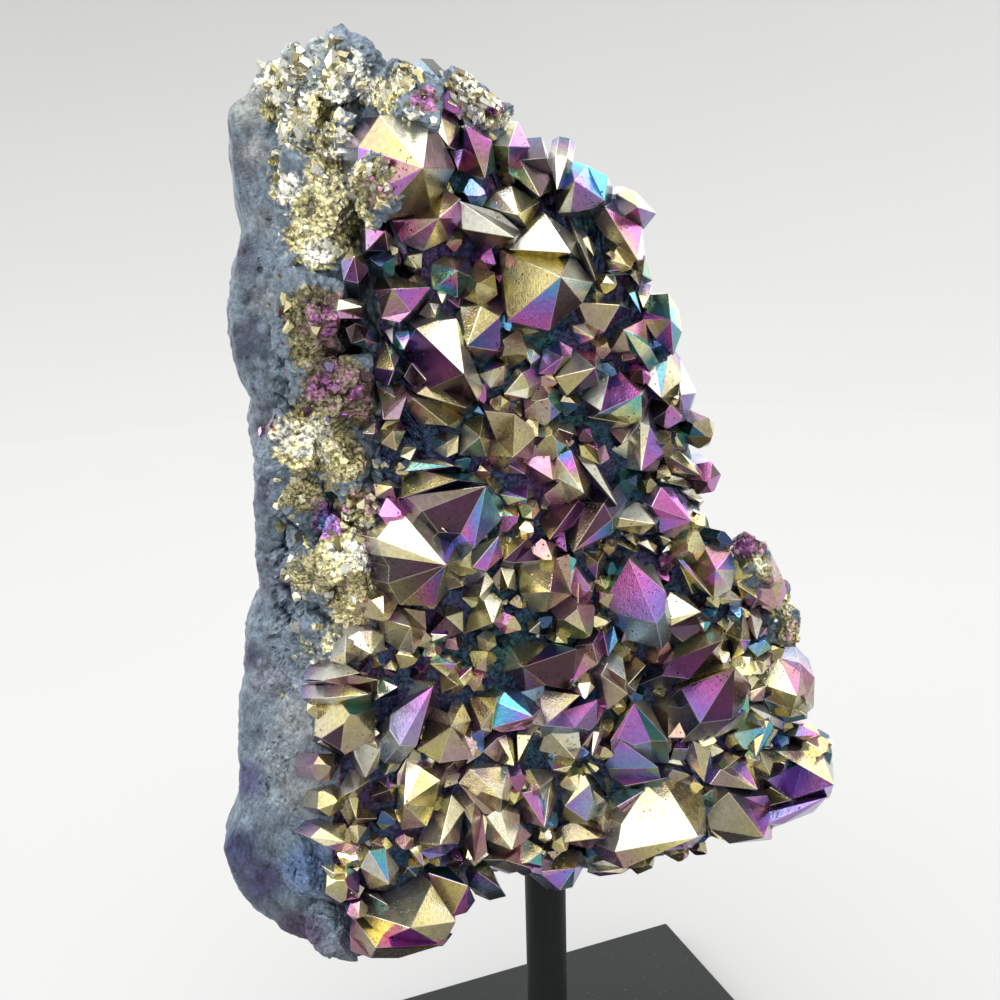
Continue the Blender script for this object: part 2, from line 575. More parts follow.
    Fan(578, 605, ((569, 592, "w"), (579, 583, "c"), (592, 592, "c"), (588, 604, "k")), 2),
    Fan(570, 590, ((566, 560, "s"), (575, 567, "c"), (590, 588, "c"), (579, 600, "c"), (568, 596, "y"),
         (566, 575, "y"))),
    Fan(598, 563, ((580, 562, "o"), (583, 552, "o"), (604, 551, "b"), (606, 564, "b"), (596, 578, "r"),
         (588, 568, "o"))),
    Fan(597, 552, ((589, 552, "u"), (595, 548, "u"), (599, 552, "k"), (592, 556, "k"))),
    Fan(632, 550, ((611, 540, "w"), (621, 541, "y"), (634, 545, "o"), (635, 554, "t"), (622, 552, "u"))),
    Fan(636, 545, ((624, 536, "o"), (632, 532, "o"), (640, 540, "b"), (638, 552, "b"))),
    Fan(654, 552, ((639, 543, "w"), (648, 540, "y"), (657, 546, "o"), (658, 556, "k"), (646, 552, "k"))),
    Fan(671, 541, ((660, 536, "w"), (668, 534, "y"), (674, 542, "k"), (664, 546, "o"))),
    Fan(662, 553, ((660, 548, "t"), (668, 545, "w"), (670, 550, "t"), (662, 556, "r"))),
    Fan(529, 632, ((527, 622, "y"), (540, 622, "s"), (538, 634, "k"), (526, 636, "k"))),
    Fan(553, 480, ((524, 462, "c"), (534, 446, "c"), (549, 452, "c"), (557, 462, "b"), (560, 478, "k"),
         (538, 484, "c"))),
    Fan(525, 474, ((498, 459, "m"), (514, 458, "b"), (526, 462, "c"), (528, 478, "k"), (505, 473, "b"))),
    # Right side
    Fan(701, 612, ((665, 620, "yw"), (665, 604, "w"), (671, 593, "yw"), (686, 596, "d"), (704, 604, "k"),
         (712, 622, "d"), (683, 640, "d"), (667, 627, "y")), 4),
    Fan(723, 640, ((673, 660, "y"), (677, 645, "y"), (707, 624, "yr"), (722, 629, "w"), (728, 640, "o"),
         (716, 657, "d"), (690, 677, "d"), (664, 674, "d")), 5),
    Fan(735, 667, ((674, 686, "y"), (676, 681, "y"), (716, 660, "yr"), (738, 667, "s"), (749, 686, "d"),
         (749, 695, "d"), (731, 717, "d"), (701, 721, "dp"), (683, 688, "y")), 7),
    Fan(748, 694, ((730, 716, "t"), (746, 690, "k"), (752, 700, "k"), (749, 710, "gt")), 8),
    Fan(746, 711, ((710, 737, "ps"), (722, 716, "d"), (732, 712, "us"), (747, 708, "s"), (744, 722, "s"),
         (722, 734, "us")), 2),
    Fan(716, 570, ((686, 556, "mo"), (704, 547, "mc"), (718, 544, "mc"), (730, 553, "mu"), (734, 570, "s"),
         (730, 588, "us"), (714, 597, "uo"), (700, 584, "mo"), (690, 572, "mo") ), 3),
    Fan(712, 597, ((680, 562, "wu"), (684, 561, "s"), (702, 580, "o"), (716, 596, "k"), (700, 596, "k"),
         (690, 582, "w")), 1),
    Fan(693, 594, ((681, 567, "w"), (692, 582, "s"), (698, 592, "k"), (690, 598, "c"), (684, 584, "y")), 2),
    Fan(757, 598, ((738, 585, "y"), (742, 576, "y"), (756, 580, "p"), (764, 600, "s"), (752, 608, "m"),
         (742, 598, "my")), 3),
    Fan(742, 600, ((716, 598, "s"), (728, 588, "y"), (732, 590, "c"), (744, 598, "k"), (740, 608, "c"),
         (722, 604, "o")), 1),
    Fan(741, 640, ((726, 634, "b"), (729, 612, "b"), (743, 613, "b"), (748, 630, "b"), (750, 640, "p"),
         (744, 652, "py"), (732, 658, "y"), (734, 644, "o")), 3),
    Fan(757, 640, ((746, 624, "b"), (752, 616, "s"), (762, 622, "u"), (760, 638, "k"), (752, 642, "bu")),
         1),
    Fan(766, 640, ((748, 646, "u"), (752, 640, "u"), (769, 632, "t"), (771, 648, "t"), (758, 656, "u")), 1),
    Fan(767, 628, ((759, 626, "c"), (768, 624, "k"), (768, 634, "c"), (760, 637, "c"))),
    Fan(749, 674, ((755, 660, "w"), (763, 663, "w"), (762, 674, "k"), (752, 676, "k"), (742, 668, "t"))),
    Fan(797, 696, ((766, 686, "w"), (758, 678, "w"), (779, 660, "mc"), (800, 666, "c"), (812, 690, "o"),
         (806, 712, "o"), (790, 716, "ob"), (771, 712, "ob"), (766, 698, "ob") ), 5),
    Fan(766, 686, ((750, 692, "w"), (744, 674, "w"), (760, 678, "k"), (770, 690, "k"), (763, 700, "c"),
         (751, 700, "cb")), 3),
    Fan(763, 727, ((735, 733, "cy"), (746, 720, "s"), (748, 708, "sy"), (767, 710, "s"), (773, 728, "t"),
         (768, 745, "ut"), (745, 748, "u"), (737, 740, "u")), 4),
    Fan(626, 680, ((602, 664, "s"), (606, 654, "s"), (622, 655, "so"), (630, 690, "s"), (622, 700, "b"),
         (610, 684, "b"))),
    Fan(604, 635, ((590, 632, "d"), (600, 622, "o"), (613, 626, "p"), (617, 640, "p"), (608, 655, "dm"),
         (594, 648, "m"))),
    Fan(611, 620, ((603, 616, "w"), (612, 616, "k"), (612, 624, "k"), (604, 628, "c"))),
    # Lower left
    Fan(369, 694, ((325, 698, "ws"), (324, 686, "ws"), (341, 683, "wu"), (373, 689, "k"), (370, 704, "y"),
         (332, 703, "ys")), 3),
    Fan(378, 680, ((326, 681, "z"), (343, 673, "b"), (361, 672, "b"), (380, 676, "k"), (377, 696, "z"),
         (348, 686, "z")), 1),
    Fan(360, 673, ((323, 680, "s"), (328, 668, "s"), (341, 662, "w"), (352, 668, "w"), (362, 676, "k"),
         (340, 676, "y")), 1),
    Fan(398, 687, ((376, 699, "wy"), (382, 680, "u"), (386, 677, "w"), (393, 681, "k"), (398, 694, "k")),
         1),
    Fan(396, 671, ((384, 668, "o"), (391, 660, "y"), (398, 665, "k"), (397, 675, "d"), (386, 674, "d"))),
    Fan(345, 652, ((331, 660, "s"), (334, 645, "s"), (346, 635, "s"), (358, 636, "o"), (358, 655, "s"),
         (345, 664, "o"))),
    Fan(456, 664, ((431, 664, "t"), (436, 656, "w"), (450, 655, "b"), (462, 660, "o"), (460, 672, "o"),
         (447, 676, "tw")), 1),
    Fan(472, 667, ((459, 672, "s"), (462, 663, "s"), (473, 664, "k"), (473, 676, "y"), (465, 685, "ry"),
         (457, 681, "pr")), 1),
    Fan(458, 685, ((440, 672, "o"), (458, 668, "o"), (468, 684, "o"), (458, 694, "z"), (442, 692, "z")),
         -1),
    Fan(433, 686, ((408, 697, "yw"), (412, 680, "y"), (417, 671, "y"), (435, 682, "mb"), (434, 704, "mc"),
         (425, 720, "mc"), (416, 744, "m"), (401, 743, "m"), (391, 728, "m"), (392, 714, "m")), 6),
    Fan(452, 726, ((430, 719, "w"), (434, 708, "ws"), (448, 714, "ws"), (453, 700, "ws"), (462, 704, "w"),
         (470, 721, "wy"), (464, 735, "b"), (476, 741, "b"), (472, 756, "b"), (440, 761, "bo"),
         (419, 748, "o")), 5),
    Fan(455, 762, ((432, 766, "z"), (441, 758, "b"), (472, 756, "b"), (458, 770, "d"), (440, 775, "z"))),
    Fan(497, 697, ((472, 697, "o"), (484, 692, "o"), (500, 690, "w"), (503, 698, "bo"), (491, 730, "o"),
         (482, 728, "o")), 1),
    Fan(466, 764, ((472, 751, "w"), (480, 755, "k"), (470, 766, "k"), (462, 758, "k"))),
    Fan(380, 750, ((352, 738, "s"), (362, 733, "w"), (378, 731, "s"), (390, 735, "w"), (377, 767, "s"),
         (366, 776, "s"), (356, 756, "s")), 3),
    Fan(355, 790, ((334, 800, "s"), (350, 770, "s"), (366, 774, "s"), (370, 780, "y"), (358, 795, "s"),
         (345, 800, "o")), 1),
    Fan(385, 775, ((380, 768, "s"), (394, 750, "o"), (405, 749, "s"), (398, 768, "u"), (388, 780, "y")), 1),
    Fan(404, 805, ((398, 790, "w"), (398, 775, "w"), (407, 760, "w"), (422, 770, "co"), (430, 768, "co"),
         (438, 781, "co"), (433, 806, "co"), (426, 824, "c"), (402, 828, "cy"), (398, 812, "y")), 6),
    Fan(390, 790, ((372, 796, "d"), (378, 780, "p"), (388, 776, "m"), (396, 785, "y"), (394, 800, "d"),
         (378, 802, "d")), 1),
    Fan(356, 819, ((336, 802, "z"), (348, 794, "y"), (358, 798, "o"), (362, 808, "mo"), (376, 818, "o"),
         (350, 826, "z")), 1),
    Fan(444, 788, ((440, 778, "y"), (448, 771, "o"), (462, 775, "o"), (460, 782, "k"), (448, 792, "k"))),
    Fan(331, 731, ((318, 735, "w"), (322, 720, "u"), (330, 711, "u"), (336, 714, "k"), (336, 730, "s"),
         (322, 742, "s")), 1),
    Fan(333, 738, ((318, 742, "s"), (332, 730, "s"), (345, 730, "o"), (346, 740, "z"), (330, 748, "o"))),
    Fan(368, 716, ((346, 718, "o"), (355, 709, "b"), (370, 711, "k"), (372, 720, "k"), (357, 725, "o"))),
    Fan(377, 721, ((364, 722, "w"), (372, 716, "g"), (379, 718, "w"), (376, 726, "t"), (366, 727, "w"))),
    # Bottom middle
    Fan(523, 667, ((504, 672, "wy"), (504, 652, "w"), (511, 646, "o"), (520, 642, "o"), (549, 645, "dj"),
         (574, 650, "d"), (571, 680, "d"), (566, 688, "d"), (545, 684, "c"), (527, 688, "c"),
         (511, 680, "c")), 6),
    Fan(570, 682, ((572, 655, "d"), (576, 647, "pc"), (592, 645, "pc"), (597, 664, "pc"), (585, 676, "k"),
         (570, 688, "k")), 2),
    Fan(533, 717, ((492, 727, "pt"), (499, 703, "ut"), (505, 693, "tu"), (520, 693, "p"), (543, 687, "p"),
         (541, 707, "p"), (534, 722, "c"), (525, 728, "c"), (503, 731, "m")), 6),
    Fan(498, 700, ((470, 699, "z"), (492, 690, "o"), (499, 703, "o"), (491, 729, "o"), (482, 727, "z")), 1),
    Fan(580, 695, ((540, 690, "z"), (562, 691, "b"), (577, 693, "b"), (578, 698, "c"), (562, 713, "b"),
         (545, 725, "z"), (534, 722, "z")), 1),
    Fan(597, 700, ((546, 725, "m"), (564, 711, "mu"), (580, 699, "ut"), (600, 699, "c"), (605, 708, "c"),
         (596, 724, "p"), (590, 729, "p"), (575, 727, "m")), 5),
    Fan(575, 759, ((552, 733, "w"), (578, 728, "w"), (580, 748, "mc"), (592, 732, "mc"), (584, 756, "k"),
         (568, 768, "o"), (541, 750, "z"), (546, 735, "z")), 5),
    Fan(592, 756, ((585, 748, "w"), (593, 732, "w"), (599, 733, "c"), (602, 738, "c"), (598, 752, "c")), 4),
    Fan(553, 770, ((540, 749, "u"), (556, 756, "uw"), (571, 766, "w"), (566, 772, "o"), (555, 774, "z")),
         2),
    Fan(518, 762, ((517, 735, "y"), (531, 736, "mo"), (524, 762, "c"), (514, 754, "o")), 1),
    Fan(514, 766, ((484, 752, "o"), (498, 739, "o"), (506, 736, "yc"), (512, 740, "o"), (518, 760, "k"),
         (498, 762, "o")), 3),
    Fan(502, 799, ((471, 770, "sw"), (480, 762, "sw"), (506, 768, "sw"), (511, 784, "w"), (508, 800, "k"),
         (499, 815, "o"), (484, 812, "o"), (461, 784, "o")), 5),
    Fan(540, 788, ((519, 793, "y"), (519, 775, "y"), (530, 770, "s"), (550, 770, "s"), (552, 778, "s"),
         (542, 800, "o"), (530, 792, "y")), 3),
    Fan(545, 828, ((524, 820, "b"), (518, 800, "b"), (523, 794, "m"), (537, 791, "mu"), (541, 795, "p"),
         (545, 812, "p"), (540, 828, "p")), 3),
    Fan(544, 829, ((541, 790, "s"), (550, 788, "w"), (553, 794, "c"), (556, 800, "u"), (552, 824, "b")), 2),
    Fan(565, 806, ((560, 796, "ws"), (566, 790, "sy"), (584, 776, "y"), (589, 786, "p"), (592, 802, "p"),
         (586, 820, "o"), (575, 824, "o"), (562, 818, "o")), 4),
    Fan(590, 788, ((586, 776, "o"), (598, 778, "o"), (604, 800, "o"), (592, 806, "b"), (588, 790, "b")), 2),
    Fan(608, 795, ((585, 765, "k"), (604, 778, "o"), (609, 780, "o"), (609, 796, "k")), 1),
    Fan(634, 703, ((612, 740, "y"), (625, 702, "y"), (634, 700, "s"), (646, 700, "s"), (666, 740, "k"),
         (650, 740, "m"), (634, 744, "m"), (619, 737, "pm")), 7),
    Fan(620, 740, ((606, 764, "y"), (616, 740, "y"), (634, 742, "o"), (656, 767, "p"), (628, 768, "p"),
         (610, 768, "p")), 5),
    Fan(624, 786, ((608, 772, "m"), (620, 766, "m"), (662, 770, "m"), (664, 778, "o"), (626, 788, "z"),
         (614, 782, "z")), 4),
    Fan(645, 790, ((612, 796, "u"), (622, 788, "k"), (650, 788, "sy"), (652, 798, "o"), (622, 808, "c"),
         (618, 806, "u")), 2),
    Fan(628, 694, ((602, 676, "s"), (608, 664, "s"), (624, 680, "c"), (630, 696, "b"), (620, 706, "b"),
         (608, 708, "b"), (604, 690, "b")), 2),
    Fan(646, 665, ((624, 658, "b"), (630, 652, "bp"), (646, 664, "k"), (642, 675, "o"), (636, 690, "o"),
         (628, 684, "b")), 2),
    # Lower right
    Fan(698, 837, ((622, 838, "y"), (624, 824, "y"), (648, 787, "w"), (662, 781, "y"), (668, 782, "cy"),
         (698, 786, "yo"), (706, 800, "o"), (703, 834, "k"), (690, 846, "m"), (660, 850, "m"),
         (640, 846, "cy"), (626, 866, "yc"), (618, 850, "y")), 8),
    Fan(764, 838, ((709, 812, "z"), (730, 794, "b"), (744, 798, "m"), (766, 797, "m"), (771, 810, "m"),
         (770, 838, "k"), (730, 842, "b"), (712, 828, "z")), 5),
    Fan(834, 785, ((776, 752, "u"), (790, 752, "u"), (803, 762, "p"), (770, 780, "p"), (792, 798, "uc"),
         (826, 797, "u"), (828, 796, "k"), (831, 764, "s"), (820, 752, "o"), (793, 752, "o")), 3),
    Fan(827, 797, ((769, 812, "p"), (784, 802, "p"), (792, 799, "u"), (826, 797, "p"), (812, 812, "p"),
         (784, 823, "p"), (770, 823, "p")), 2),
    Fan(758, 790, ((712, 784, "z"), (722, 770, "b"), (732, 768, "r"), (744, 762, "cy"), (752, 766, "c"),
         (757, 778, "c"), (759, 790, "k"), (750, 792, "k"), (735, 788, "b")), 4),
    Fan(740, 757, ((714, 766, "y"), (720, 762, "y"), (726, 752, "b"), (742, 750, "b"), (748, 754, "m"),
         (738, 762, "my"), (720, 772, "y")), 2),
    Fan(756, 757, ((735, 733, "u"), (738, 729, "co"), (752, 722, "o"), (768, 722, "ut"), (772, 728, "t"),
         (768, 744, "u"), (756, 750, "u")), 4),
    Fan(724, 751, ((704, 742, "y"), (712, 740, "m"), (724, 748, "m"), (722, 752, "k"), (712, 757, "wy")),
         2),
    Fan(774, 749, ((760, 748, "y"), (770, 738, "r"), (776, 750, "r"), (764, 751, "k"))),
    Fan(704, 782, ((684, 756, "c"), (694, 742, "o"), (710, 752, "p"), (711, 770, "p"), (708, 783, "p"),
         (692, 772, "p")), 3),
    Fan(690, 775, ((666, 768, "k"), (672, 762, "c"), (680, 770, "o"), (692, 776, "z"), (700, 782, "z"),
         (672, 784, "z")), 1),
    Fan(664, 762, ((655, 760, "w"), (660, 755, "k"), (678, 757, "w"), (682, 765, "o"), (662, 768, "u"))),
    Fan(668, 706, ((651, 706, "y"), (656, 698, "s"), (665, 694, "sy"), (676, 700, "s"), (688, 710, "b"),
         (684, 736, "b"), (668, 736, "b"), (657, 718, "b")), 3),
    Fan(690, 722, ((684, 734, "u"), (690, 718, "ut"), (694, 728, "m"), (688, 748, "m"), (674, 748, "p")),
         3),
    Fan(806, 700, ((797, 698, "k"), (780, 660, "m"), (800, 664, "c"), (814, 678, "c"), (813, 706, "s"),
         (806, 712, "s")), 3),
    Fan(808, 716, ((766, 700, "z"), (776, 694, "o"), (796, 700, "o"), (806, 708, "c"), (806, 718, "k"),
         (780, 724, "k")), 1),
    Fan(820, 735, ((800, 725, "o"), (811, 722, "o"), (821, 736, "m"), (804, 740, "m"), (796, 736, "m"))),
    Fan(828, 772, ((816, 752, "w"), (822, 748, "k"), (832, 754, "c"), (831, 770, "k"))),
    Fan(768, 806, ((760, 792, "o"), (770, 788, "o"), (790, 800, "k"), (786, 804, "o"), (768, 806, "y"))),
    Fan(770, 775, ((752, 765, "z"), (760, 752, "z"), (776, 752, "o"), (772, 782, "o"), (758, 780, "o")), 1),
    Fan(697, 800, ((704, 786, "s"), (712, 790, "tg"), (710, 804, "k"), (704, 796, "s"))),
    Fan(748, 706, ((749, 700, "s"), (764, 704, "s"), (770, 715, "s"), (768, 722, "o"), (748, 718, "s")), 1),
    # Bottom left and bottom edge
    Fan(376, 948, ((354, 916, "yo"), (364, 912, "yo"), (386, 930, "pm"), (412, 931, "pm"), (441, 944, "mb"),
         (424, 949, "b"), (398, 957, "b"), (372, 957, "z"), (353, 950, "z"), (352, 936, "z")), 4),
    Fan(410, 928, ((362, 912, "s"), (385, 892, "s"), (418, 873, "s"), (430, 886, "oy"), (453, 921, "o"),
         (441, 944, "p"), (410, 946, "p"), (385, 938, "y")), 6),
    Fan(468, 886, ((430, 874, "k"), (444, 863, "s"), (455, 868, "w"), (467, 884, "k"), (474, 900, "p"),
         (466, 911, "pm"), (452, 915, "o"), (438, 892, "o")), 3),
    Fan(440, 845, ((419, 842, "ws"), (432, 807, "ws"), (451, 797, "w"), (463, 811, "o"), (458, 842, "p"),
         (446, 853, "p"), (430, 858, "p"), (420, 850, "o")), 5),
    Fan(472, 825, ((456, 797, "y"), (460, 793, "w"), (476, 794, "c"), (482, 815, "c"), (486, 850, "c"),
         (474, 860, "c"), (464, 840, "k"), (463, 815, "k")), 3),
    Fan(345, 842, ((312, 838, "o"), (322, 828, "w"), (334, 826, "oy"), (345, 824, "b"), (358, 846, "c"),
         (340, 852, "m"), (326, 846, "y")), 2),
    Fan(389, 884, ((362, 868, "s"), (370, 852, "u"), (385, 850, "s"), (398, 868, "y"), (395, 884, "k"),
         (385, 890, "z"), (370, 888, "o")), 2),
    Fan(352, 893, ((336, 895, "w"), (340, 886, "y"), (352, 880, "o"), (364, 888, "o"), (358, 898, "c"),
         (345, 900, "c")), 1),
    Fan(333, 873, ((322, 866, "w"), (335, 864, "y"), (348, 873, "o"), (340, 884, "o"), (332, 880, "o")), 1),
    Fan(372, 842, ((362, 840, "z"), (368, 832, "o"), (380, 836, "b"), (382, 846, "z"), (372, 850, "z"))),
    Fan(408, 868, ((400, 864, "u"), (408, 855, "z"), (420, 866, "k"), (416, 876, "k"), (402, 876, "z"))),
    Fan(424, 866, ((410, 850, "tw"), (420, 846, "o"), (434, 860, "k"), (422, 872, "w"), (412, 856, "w"))),
    Fan(388, 905, ((370, 895, "w"), (378, 894, "w"), (390, 908, "s"), (376, 906, "t")), 1),
    Fan(478, 872, ((466, 872, "o"), (472, 863, "y"), (488, 865, "y"), (494, 878, "c"), (500, 888, "p"),
         (484, 892, "p"), (470, 886, "p")), 1),
    Fan(512, 850, ((484, 838, "y"), (488, 818, "yw"), (500, 810, "w"), (519, 816, "w"), (519, 824, "c"),
         (530, 835, "c"), (512, 852, "c"), (498, 858, "o")), 3),
    Fan(484, 845, ((479, 818, "tw"), (483, 816, "w"), (488, 818, "k"), (488, 850, "k"), (481, 846, "w"))),
    Fan(521, 855, ((531, 840, "y"), (540, 842, "y"), (539, 858, "yr"), (533, 872, "c"), (528, 872, "c"),
         (522, 866, "b")), 2),
    Fan(575, 868, ((540, 872, "o"), (545, 853, "o"), (565, 850, "o"), (580, 852, "o"), (585, 862, "k"),
         (583, 866, "p"), (572, 886, "u"), (560, 889, "up"), (545, 876, "r")), 3),
    Fan(600, 872, ((588, 872, "w"), (590, 864, "ws"), (612, 858, "ws"), (624, 868, "w"), (622, 873, "m"),
         (600, 876, "m")), 2),
    Fan(604, 816, ((584, 816, "y"), (600, 801, "yw"), (609, 800, "o"), (622, 815, "o"), (612, 830, "s"),
         (604, 833, "w"), (598, 822, "w")), 2),
    Fan(600, 838, ((556, 830, "z"), (575, 822, "o"), (590, 820, "o"), (612, 834, "p"), (612, 842, "k"),
         (590, 848, "c"), (565, 842, "z")), 2),
    Fan(505, 860, ((470, 860, "b"), (480, 852, "c"), (520, 850, "c"), (530, 868, "b"), (512, 872, "z"),
         (495, 866, "k"))),
)
print("outlined crystals:", len(FANS))

# %% [markdown]
# ## The shape of one crystal
# Quartz grows as a six-sided prism with a six-sided point. Three faces of the point are bigger
# than the other three, and each leans 51.8 degrees from the base. The neat way to get such a shape
# is to cut it out of space with flat planes, because it can then lean or be lopsided and still
# keep flat faces and the right angles.

# %% A solid cut out by planes
POINT_SLOPE = math.radians(51.8)
BIG_FACE_SHARE = 0.90
SMALL_FACE_SHARE = 1.06
SHOULDER_SHARE = 0.30
TIP_SHARE = 1.25
ROOT_DEPTH = 0.0055
FRONT_DEPTH = -0.020
SIDE_SPREAD = (0.92, 1.06)
FACE_SPREAD = (0.96, 1.04)
PARALLEL = 1e-6  # planes that meet at less than this have no corner
ON_PLANE = 2e-8  # a corner this near to a plane lies on it
TRIPLES = {}  # for each number of planes, every choice of three of them


def convex_cell(normals, reaches):
    """The corners of the space inside the planes, and each face as (plane, its corners in turn)."""
    count = len(normals)
    if count not in TRIPLES:
        TRIPLES[count] = np.array(list(itertools.combinations(range(count), 3)))
    triples = TRIPLES[count]
    systems = normals[triples]
    solvable = np.abs(np.linalg.det(systems)) > PARALLEL
    spots = np.linalg.solve(systems[solvable], reaches[triples[solvable]][..., None])[..., 0]
    spots = spots[(spots @ normals.T <= reaches + 1e-9).all(1)]
    _, kept = np.unique(np.round(spots, 7), axis=0, return_index=True)
    corners = spots[kept]
    faces = []
    for plane in range(count):
        near = np.where(np.abs(corners @ normals[plane] - reaches[plane]) < ON_PLANE)[0]
        if len(near) < 3:
            continue
        middle = corners[near].mean(0)
        first = corners[near[0]] - middle
        second = np.cross(normals[plane], first)
        offsets = corners[near] - middle
        faces.append((plane, near[np.argsort(np.arctan2(offsets @ second, offsets @ first))]))
    return corners, faces


def point_cell(radius, axis, bearing, dice, root_depth=ROOT_DEPTH, shoulder=SHOULDER_SHARE):
    """A quartz point about its own middle. Plane 0 is its root, then a side and a face in turn."""
    across = (RIGHT - axis * RIGHT.dot(axis)).normalized()
    upward = axis.cross(across)
    apothem = radius * math.cos(math.radians(30))
    normals, reaches = [-axis], [root_depth]
    for k in range(6):
        angle = math.radians(bearing + 60 * k)
        side = across * math.cos(angle) + upward * math.sin(angle)
        normals.append(side)
        reaches.append(apothem * dice.uniform(*SIDE_SPREAD))
        share = BIG_FACE_SHARE if k % 2 == 0 else SMALL_FACE_SHARE
        share *= dice.uniform(*FACE_SPREAD)
        normals.append(side * math.sin(POINT_SLOPE) + axis * math.cos(POINT_SLOPE))
        reaches.append(apothem * share * math.sin(POINT_SLOPE)
                       + radius * shoulder * math.cos(POINT_SLOPE))
    return np.array(normals), np.array(reaches)


sample_normals, sample_reaches = point_cell(0.01, Vector((0, -1, 0)), 30, random.Random(1))
print("corners of one crystal:", len(convex_cell(sample_normals, sample_reaches)[0]))

# %% [markdown]
# ## Colours of the film
# The colour of such a film depends on its thickness: pale champagne where it is thinnest, then
# gold, olive, brown, magenta, violet, blue and teal. One number stands for the thickness, and a
# ramp turns it into the colour. A second number makes a facet darker. On the real piece, facets
# that look up are pale gold, those that look down are magenta and violet, and those that look at
# the viewer are brown, so a facet with no letter takes its colour by the way it looks.

# %% Film letters
# Each letter: the thickness of the film, and how bright its facets are
FILM = {
    "w": (0.04, 1.08),  # champagne white
    "y": (0.14, 1.08),  # yellow gold
    "o": (0.27, 1.00),  # olive
    "b": (0.34, 1.05),  # brown
    "d": (0.45, 0.19),  # dark plum
    "r": (0.51, 1.00),  # bright pink
    "m": (0.53, 0.85),  # magenta
    "p": (0.62, 0.82),  # violet
    "u": (0.76, 1.00),  # blue
    "t": (0.86, 0.95),  # teal
    "g": (0.95, 0.95),  # green
    "k": (0.74, 0.26),  # navy black
    "s": (0.25, 1.00),  # silver grey, by the haze below
    "c": (0.41, 1.00),  # copper rose
    "l": (0.60, 1.10),  # lilac
    "z": (0.29, 0.72),  # dark olive
    "j": (0.84, 0.34),  # dark teal
    "v": (0.68, 0.80),  # violet blue
}
HAZE = {"s": 0.7, "w": 0.1}  # how milky the film is
# Letters for a facet without one, by the side it looks to
CHOICES_BY_SIDE = {
    "up": "wyyoyw", "up_left": "yoybw", "left": "obdoby", "down_left": "bmobd",
    "down": "mpbmpr", "down_right": "pumtb", "right": "tuobp", "up_right": "ywotu",
}
SIDES = ("right", "up_right", "up", "up_left", "left", "down_left", "down", "down_right")
FRONT_CHOICES = "obdobm"
NEARLY_FRONT = 0.35


def film_by_tilt(normal, dice):
    """A letter for a facet from the way it looks."""
    x, z = normal.x, normal.z
    if math.hypot(x, z) < NEARLY_FRONT:
        return dice.choice(FRONT_CHOICES)
    side = SIDES[round(math.degrees(math.atan2(z, x)) / 45) % 8]
    return dice.choice(CHOICES_BY_SIDE[side])


print("film letters:", "".join(FILM))

# %% A mesh that collects many crystals


class Growth:
    """Gathers shapes with the film, shade and haze at every corner of every face."""

    def __init__(self):
        self.verts, self.faces, self.film, self.shade, self.haze = [], [], [], [], []

    def add(self, corners, faces, looks):
        """looks gives (film, shade, haze) for each corner of each face, in the faces' order."""
        first = len(self.verts)
        self.verts += [tuple(c) for c in corners]
        for (_, loop), face_looks in zip(faces, looks):
            self.faces.append([first + int(i) for i in loop])
            self.film += [look[0] for look in face_looks]
            self.shade += [look[1] for look in face_looks]
            self.haze += [look[2] for look in face_looks]

    def build(self, name):
        mesh = bpy.data.meshes.new(name)
        mesh.from_pydata(self.verts, [], self.faces)
        for key in ("film", "shade", "haze"):
            values = getattr(self, key)
            layer = mesh.attributes.new(key, "FLOAT", "CORNER")
            layer.data.foreach_set("value", np.array(values, np.float32))
        thing = bpy.data.objects.new(name, mesh)
        bpy.context.scene.collection.objects.link(thing)
        return thing


ROOT_THICKER = 0.16  # the film at the root, against the tip
ROOT_DARKER = 0.25
SIDE_THICKER = 0.10  # the film on the sides of the prism, against the faces of the point
SIDE_SHADE = 0.7


def grow_point(growth, root, axis, radius, bearing, film, dice, dull=1.0, **shape):
    """Adds one quartz point. film has up to six letters, one for each face of the point."""
    normals, reaches = point_cell(radius, axis, bearing, dice, **shape)
    corners, faces = convex_cell(normals, reaches)
    heights = corners @ np.array(axis)
    low, high = heights.min(), heights.max()
    looks = []
    letters = [film[k] if k < len(film) else film_by_tilt(Vector(normals[2 * k + 2]), dice)
               for k in range(6)]
    for plane, loop in faces:
        k = (plane - 1) // 2
        tone, shade = FILM[letters[k]] if plane else FILM["k"]
        is_side = plane % 2 == 1
        tone += SIDE_THICKER * is_side + dice.uniform(-0.03, 0.03)
        shade *= (SIDE_SHADE if is_side else 1.0) * dice.uniform(0.85, 1.1)
        drift = ROOT_THICKER * dice.uniform(0.3, 1.2)
        haze = dice.uniform(0.2, 1.0)
        depths = [1 - (heights[i] - low) / (high - low) for i in loop]
        looks.append([(tone + drift * d, dull * shade * (1 - ROOT_DARKER * d), haze * d)
                      for d in depths])
    growth.add([Vector(c) + root for c in corners], faces, looks)


print("ready to grow")

# %% Grow the listed crystals


def dice_for(spec):
    """Dice of its own for each listed shape, so that adding one leaves the others alone."""
    return random.Random(int(spec.x) * 1000 + int(spec.y))


def stance(spec):
    """Where a listed crystal is rooted, and the way it points."""
    radius = spec.radius * SHEET_UNIT
    root = on_slab(spec.x, spec.y, FRONT_DEPTH)
    tip = on_slab(spec.tip_x, spec.tip_y, FRONT_DEPTH - radius * TIP_SHARE)
    return root, (tip - root).normalized(), radius


big_points = Growth()
taken = []
for spec in POINTS:
    root, axis, radius = stance(spec)
    grow_point(big_points, root, axis, radius, spec.bearing, "", dice_for(spec))
    taken.append((root, radius))
print("faces on the listed crystals:", len(big_points.faces))

